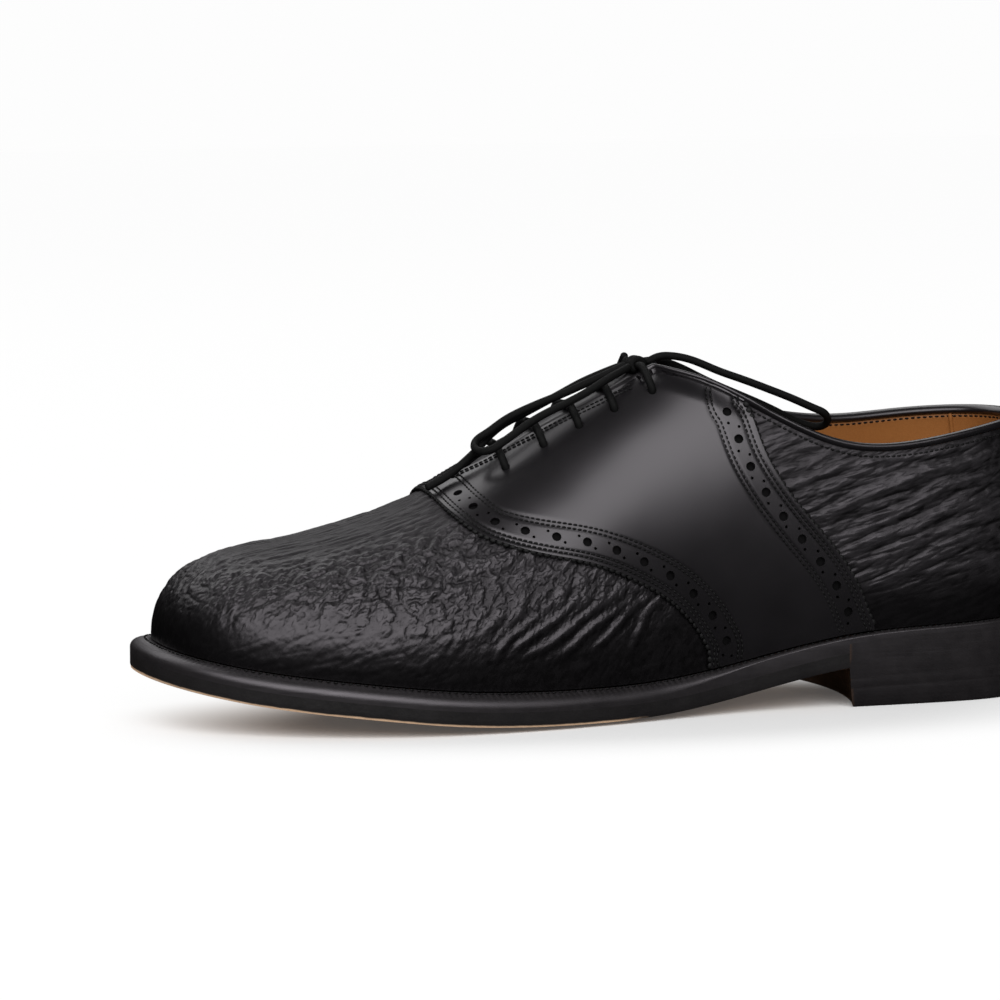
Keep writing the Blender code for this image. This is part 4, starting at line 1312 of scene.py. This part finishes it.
def make_tongue():
    """Tongue under the facings."""
    stations = np.linspace(TONGUE_TOP, TONGUE_LOW, 90)
    halves = []
    for side in SIDES:
        t = np.array([place_at(station) for station in stations])
        rounded = np.sqrt(smoothstep(TONGUE_TOP - 0.002, TONGUE_TOP + 0.012, stations))
        half = TONGUE_HALF * (0.55 + 0.45 * rounded)
        low = np.array([beside_ridge(side, *row) for row in zip(t, half)])
        v = low + (1 - low) * np.linspace(0, 1, 24)[:, None]
        t = np.broadcast_to(t, v.shape)
        apart = np.abs(rib(side, t, v)[..., 1] - RIDGE["shift"](apex_station(t)))
        slit = slit_half(apex_station(t))
        swell = smoothstep(1.0, 0.45, apart / np.maximum(slit, 0.002))
        swell = TONGUE_SWELL * swell * smoothstep(0.204, 0.190, apex_station(t))
        points = surface(side, t, v, swell - UPPER_WALL - 0.0007)
        halves.append(grid("tongue_" + SIDE_NAMES[side], points[:, ::side], "tongue"))
    thing = join("tongue_leather", halves)
    apply(thing, "SOLIDIFY", thickness=TONGUE_THICK, offset=-1)
    settle(thing, "tongue_leather", "tongue")


def between(outer, inner, share):
    """Rows of points from the outer line to the inner one, at shares of the way."""
    return outer[:, None] * (1 - share)[None, :, None] + inner[:, None] * share[None, :, None]


def make_insole():
    """Tan sock leather over the insole."""
    t = np.concatenate([[0.004], np.linspace(0.01, 0.99, 120), [0.996]])
    outer, inner = (sole_line(side, t, -SOCK_LIFT) for side in SIDES)
    share = np.linspace(0, 1, 30)
    plan = between(outer, inner, share)
    dish = SOCK_DISH * (2 * share - 1) ** 2
    points = np.concatenate([plan, (seat_height(plan[..., 0]) + SOCK_LIFT + dish)[..., None]], -1)
    thing = grid("sock", points, "lining")
    apply(thing, "SOLIDIFY", thickness=SOCK_THICK, offset=-1)
    settle(thing, "insole_leather", "insole")


# Sole

def ring_places(count):
    """Sides and places all round the shoe, from the heel's back over the outer side to the toe and back."""
    t = np.linspace(0, 1, count)
    return [(OUTER, t), (INNER, t[::-1][1:])]


def make_welt():
    """Welt with wheeled notches on its top and a rounded, inked edge."""
    rows = []
    for side, t in ring_places(900):
        margin = EDGE[SIDE_NAMES[side]](feather(side, t)[..., 0])
        rounding = 0.0008 + 0.0033 * smoothstep(0.105, 0.150, feather(side, t)[..., 0])
        run = chord_lengths(sole_edge(side, t))
        notch = 0.5 + 0.5 * np.cos(2 * np.pi * run / WELT_NOTCH_STEP)
        profile = [(-0.005, 0.0, 0.0), (-0.005, WELT_THICK, 0.0), (-0.002, WELT_THICK - 0.0008, 0.0)]
        for turn in np.radians((4, 14, 26, 38, 50, 62, 74, 84, 90)):
            lift = WELT_THICK - rounding * (1 - np.cos(turn))
            profile.append((np.sin(turn), lift, np.exp(-((np.degrees(turn) - 22) / 16) ** 2)))
        profile += [(1.0, 0.0006, 0.0), (1.0, -GAP, 0.0), (0.8, -GAP, 0.0)]
        section = []
        for out, lift, cut in profile:
            distance = out * margin if out > 0 else np.full_like(margin, out)
            plan = sole_line(side, t, distance)
            height = BOTTOM(plan[..., 0]) + OUTSOLE_THICK + GAP + lift - WELT_NOTCH * cut * notch
            section.append(np.concatenate([plan, height[..., None]], -1))
        section.append(section[0])
        rows.append(np.stack(section, 1))
    thing = grid("welt_strip", np.vstack(rows), "welt")
    weld(thing)
    crisp(thing, 50)
    settle(thing, "welt_leather", "welt")
    make_welt_stitches()


def make_welt_stitches():
    """Row of stitches near the inner edge of the welt's top."""
    runs = []
    for side in SIDES:
        t = np.linspace(0, 1, 3000)
        out = 0.30 * EDGE[SIDE_NAMES[side]](feather(side, t)[..., 0])
        plan = sole_line(side, t, out)
        line = np.column_stack([plan, seat_height(plan[:, 0]) - 0.0001])
        run = chord_lengths(line)
        wanted = np.arange(0.001, run[-1], WELT_STITCH_STEP)
        at = np.stack([np.interp(wanted, run, line[:, k]) for k in range(3)], -1)
        along = unit(np.stack([np.interp(wanted, run, slope) for slope in np.gradient(line, axis=0).T], -1))
        runs.append((at, along, unit(np.array((0, 0, 1.0)) - along * along[:, 2:])))
    settle(stitch_copies("welt_stitches", runs), "lace_cord")


def underside(plan):
    """Lower face of the outsole: a little round across, flat where it stands on the floor."""
    bow = 1 - np.linspace(-1, 1, plan.shape[1]) ** 2
    width = np.ptp(plan[..., 1], axis=1)[:, None]
    return np.maximum(BOTTOM(plan[..., 0]) - OUTSOLE_CROWN * bow * (width / BALL_WIDTH) ** 2, 0)


def make_outsole():
    """Leather outsole with a rounded lower edge."""
    ends = np.linspace(0.002, 0.05, 25), np.linspace(0.95, 0.998, 25)
    t = np.concatenate([ends[0], np.linspace(0.05, 0.95, 200)[1:], ends[1][1:]])
    outer, inner = (sole_edge(side, t) for side in SIDES)
    share = np.linspace(0, 1, 25)
    plan = between(outer, inner, share)
    under = underside(plan)
    bottom = np.concatenate([plan, under[..., None]], -1)
    sides = []
    for side, edge in ((OUTER, outer), (INNER, inner)):
        low = BOTTOM(edge[:, 0])
        wall = []
        for inset, lift, level in OUTSOLE_WALL:
            plan_line = sole_line(side, t, EDGE[SIDE_NAMES[side]](feather(side, t)[..., 0]) - inset)
            wall.append((np.column_stack([plan_line, low + lift]), level))
        sides.append(wall)
    rows = sides[0][::-1]
    rows += [(bottom[:, k], 0.0) for k in range(1, len(share) - 1)]
    rows += sides[1]
    for k in (18, 12, 6):
        rows.append((np.column_stack([plan[:, k], BOTTOM(plan[:, k, 0]) + OUTSOLE_THICK]), 1.0))
    rows.append(rows[0])
    points = np.stack([line for line, _ in rows], 1)
    levels = np.broadcast_to(np.array([level for _, level in rows])[None], points.shape[:2])
    # Painted shade: the tan line is painted black from the waist back to the heel, where it lies in shade
    behind = smoothstep(0.175, 0.125, points[..., 0])
    levels = np.where(levels > 0, np.maximum(levels, 0.4 * behind), 0)
    thing = grid("outsole_edge_and_tread", points, "outsole", {"edge_height": levels})
    weld(thing)
    pick(thing)
    bpy.ops.object.mode_set(mode="EDIT")
    bpy.ops.mesh.select_all(action="DESELECT")
    bpy.ops.mesh.select_non_manifold()
    bpy.ops.mesh.fill()
    bpy.ops.object.mode_set(mode="OBJECT")
    face_out(thing)
    crisp(thing, 50)
    settle(thing, "outsole_leather", "outsole")


def make_heel():
    """Heel of stacked lifts with a hollow breast."""
    tries = np.linspace(0, 0.5, TRIES)
    front = {side: float(np.interp(HEEL_LENGTH, feather(side, tries)[:, 0], tries)) for side in SIDES}
    outer = sole_edge(OUTER, np.linspace(front[OUTER], 0, 90))
    inner = sole_edge(INNER, np.linspace(0, front[INNER], 90))[1:]
    across = np.linspace(inner[-1], outer[0], 40)[1:]
    across[:, 0] -= BREAST_HOLLOW * (1 - np.linspace(-1, 1, 40)[1:] ** 2)
    outline = np.vstack([outer, inner, across])
    middle = np.array([HEEL_LENGTH / 2, 0.0])
    rows = []
    wide = np.abs(outline[:, 1]).max()
    top = BOTTOM(outline[:, 0]) + 0.0002
    full = HEEL_LIFTS[-1][0]
    for lift, inset in HEEL_LIFTS:
        height = top * lift / full
        taper = (HEEL_TAPER * (1 - lift / full) + inset) / wide
        plan = middle + (outline - middle) * (1 - taper)
        rows.append(np.column_stack([plan, height]))
    for lift in (0.0030, OUTSOLE_THICK + 0.0028):
        rows.append(np.column_stack([middle + (outline - middle) * (1 + 0.00006 / wide), top + lift]))
    foot = [middle + (rows[0][:, :2] - middle) * k for k in (0.6, 0.0)]
    under = [np.column_stack([plan, np.zeros(len(plan))]) for plan in foot[::-1]]
    inward = [middle + (outline - middle) * k for k in (0.6, 0.0)]
    over = [np.column_stack([plan, BOTTOM(plan[:, 0]) - 0.0030]) for plan in inward]
    stack = np.stack(under + rows + over)
    breast = np.zeros(stack.shape[:2])
    breast[:, len(outer) + len(inner):] = 1
    thing = grid("heel_lifts", stack, "heel", {"breast": breast})
    weld(thing)
    face_out(thing)
    crisp(thing, 40)
    settle(thing, "heel_stack", "heel")


# Lace

def lace_over(side, station, distance, out):
    """Point of the lace's middle over the saddle, at a distance from the ridge."""
    t = np.array(place_at(station))
    v = np.array(beside_ridge(side, t, distance))
    return surface(side, t, v, np.array(out))


def strand(side, station, reach):
    """Points of the lace up out of an eyelet and over the facing to its edge."""
    edge = float(slit_half(station))
    lift = OUTSIDE + LACE / 2
    route = [(reach + 0.0006, -0.0012), (reach + 0.0005, OUTSIDE), (reach - 0.0006, lift)]
    route += [(distance, lift + LACE_RISE)
              for distance in (reach - 0.0026, *np.linspace(reach - 0.004, edge - LACE / 4, 3))]
    return [lace_over(side, station, distance, out) for distance, out in route]


def lace_tube(name, points, *nodes):
    """Piece of lace along a smooth route, standing for these solids."""
    return settle(tube(name, smooth_line(points, LACE_STEP), LACE / 2, "lace"), "lace_cord", *nodes)


def make_lace():
    """Bars, strands from the top eyelets, knot and bow."""
    for number, row in enumerate(EYELET_ROWS[:-1], 1):
        near, far = strand(OUTER, *row), strand(INNER, *row)
        middle = (near[-1] + far[-1]) / 2 + (0, 0, 0.0006)
        points = near + [middle] + far[::-1]
        lace_tube("lace_bar_%d_cord" % number, points, "lace_bar_%d" % number)
    for side in SIDES:
        end = np.array(KNOT_CENTRE) + (0, side * 0.0030, 0)
        points = strand(side, *EYELET_ROWS[-1]) + [end]
        lace_tube("lace_top_%s_cord" % SIDE_NAMES[side], points, "lace_top_" + SIDE_NAMES[side])
    knot = make_knot()
    lift = OUTSIDE + 2 * GAP + LACE / 2
    back_end = [BACK_END_START] + [lace_over(INNER, *row, lift) for row in BACK_END_ROWS]
    routes = (("lace_loop_front", FRONT_LOOP, "object"), ("lace_end_front", FRONT_END, "bare"),
              ("lace_loop_back", BACK_LOOP, "object"), ("lace_end_back", back_end, "bare"))
    for name, route, far_end in routes:
        line = smooth_line(route, LACE_STEP)
        cord = lace_tube(name + "_cord", route, name)
        path = to_world(line)
        pieces = [knot] if name == "lace_loop_front" else []


def make_knot():
    """Knot of the bow: two wraps of lace round the crossing."""
    turn = np.linspace(-0.3 * np.pi, 4.3 * np.pi, 90)
    centre = np.array(KNOT_CENTRE)
    swing = np.linspace(-1, 1, len(turn))
    wrap = np.column_stack([0.0023 * np.cos(turn) + 0.0004 * swing, 0.0026 * swing, 0.0019 * np.sin(turn)])
    wrap += centre
    knot = tube("lace_knot_wraps", wrap, LACE / 2, "lace")
    return settle(knot, "lace_cord", "lace_knot")


# Stage, light and camera

def make_stage():
    """Pale floor that runs up into a backdrop."""
    bpy.ops.object.select_all(action="DESELECT")
    bpy.ops.mesh.primitive_plane_add(size=FLOOR_SIZE, location=(0, 0, 0))
    floor = bpy.context.object
    floor.name = "floor"
    bpy.ops.object.mode_set(mode="EDIT")
    bpy.ops.mesh.select_all(action="DESELECT")
    bpy.ops.object.mode_set(mode="OBJECT")
    for edge in floor.data.edges:
        ends = [floor.data.vertices[k].co.y for k in edge.vertices]
        edge.select = min(ends) > FLOOR_SIZE / 2 - 0.1
    bpy.ops.object.mode_set(mode="EDIT")
    bpy.ops.mesh.select_mode(type="EDGE")
    bpy.ops.mesh.extrude_region_move(TRANSFORM_OT_translate={"value": (0, 0, FLOOR_SIZE / 2)})
    bpy.ops.object.mode_set(mode="OBJECT")
    finish = Finish("pale_floor", roughness=0.9, specular_ior_level=0.0, emission_strength=1.0)
    spot = finish.mapped(Location=(0.0, 0.35, 0.0), Scale=(6.0, 14.0, 1.0))
    far = finish.node("ShaderNodeVectorMath", {"operation": "LENGTH"}, {0: spot}, out="Value")
    away = finish.ramp(far, 0.6, 1.25)
    finish.shade(away, FLOOR_LIT, FLOOR_DIM)
    finish.feed("Emission Color", finish.mix(away, colour(*FLOOR_DIM), colour(*FLOOR_GLOW)))
    floor.data.materials.append(finish.material)
    floor.visible_glossy = False


def area_light(name, place, size, power):
    """Soft box that faces the shoe."""
    light = bpy.data.lights.new(name, "AREA")
    light.shape = "RECTANGLE"
    light.size, light.size_y = size
    light.energy = power
    thing = bpy.data.objects.new(name, light)
    thing.location = place
    thing.rotation_euler = (Vector(LIGHT_TARGET) - Vector(place)).to_track_quat("-Z", "Y").to_euler()
    bpy.context.scene.collection.objects.link(thing)


def make_lights():
    """One wide soft box high on the viewer's side, a weak one behind, and an even room."""
    world = bpy.data.worlds.new("room")
    world.use_nodes = True
    sky = world.node_tree.nodes["Background"].inputs
    sky["Color"].default_value = colour(1.0, 1.0, 1.0)
    sky["Strength"].default_value = ROOM_STRENGTH
    world.cycles_visibility.glossy = False
    bpy.context.scene.world = world
    for row in LIGHTS:
        area_light(*row)


def make_camera():
    """Camera of the photograph."""
    azimuth, elevation = np.radians((VIEW_AZIMUTH, VIEW_ELEVATION))
    level = np.cos(elevation)
    back = Vector((np.sin(azimuth) * level, -np.cos(azimuth) * level, np.sin(elevation)))
    data = bpy.data.cameras.new("camera")
    data.lens = VIEW_LENS
    data.sensor_width = 36
    data.clip_end = 50
    camera = bpy.data.objects.new("camera", data)
    camera.location = Vector(to_world(VIEW_POINT)) + back * VIEW_DISTANCE
    camera.rotation_euler = (-back).to_track_quat("-Z", "Y").to_euler()
    bpy.context.scene.collection.objects.link(camera)
    bpy.context.scene.camera = camera


make_camera()
make_lace()
make_vamp()
make_quarters()
for side in SIDES:
    make_saddle(side)
    make_backing(side)
make_saddle_seams()
make_gimped_edges()
make_lining()
make_binding()
make_tongue()
make_insole()
make_welt()
make_outsole()
make_heel()
make_stage()
make_lights()
bpy.context.scene.view_settings.view_transform = "Standard"
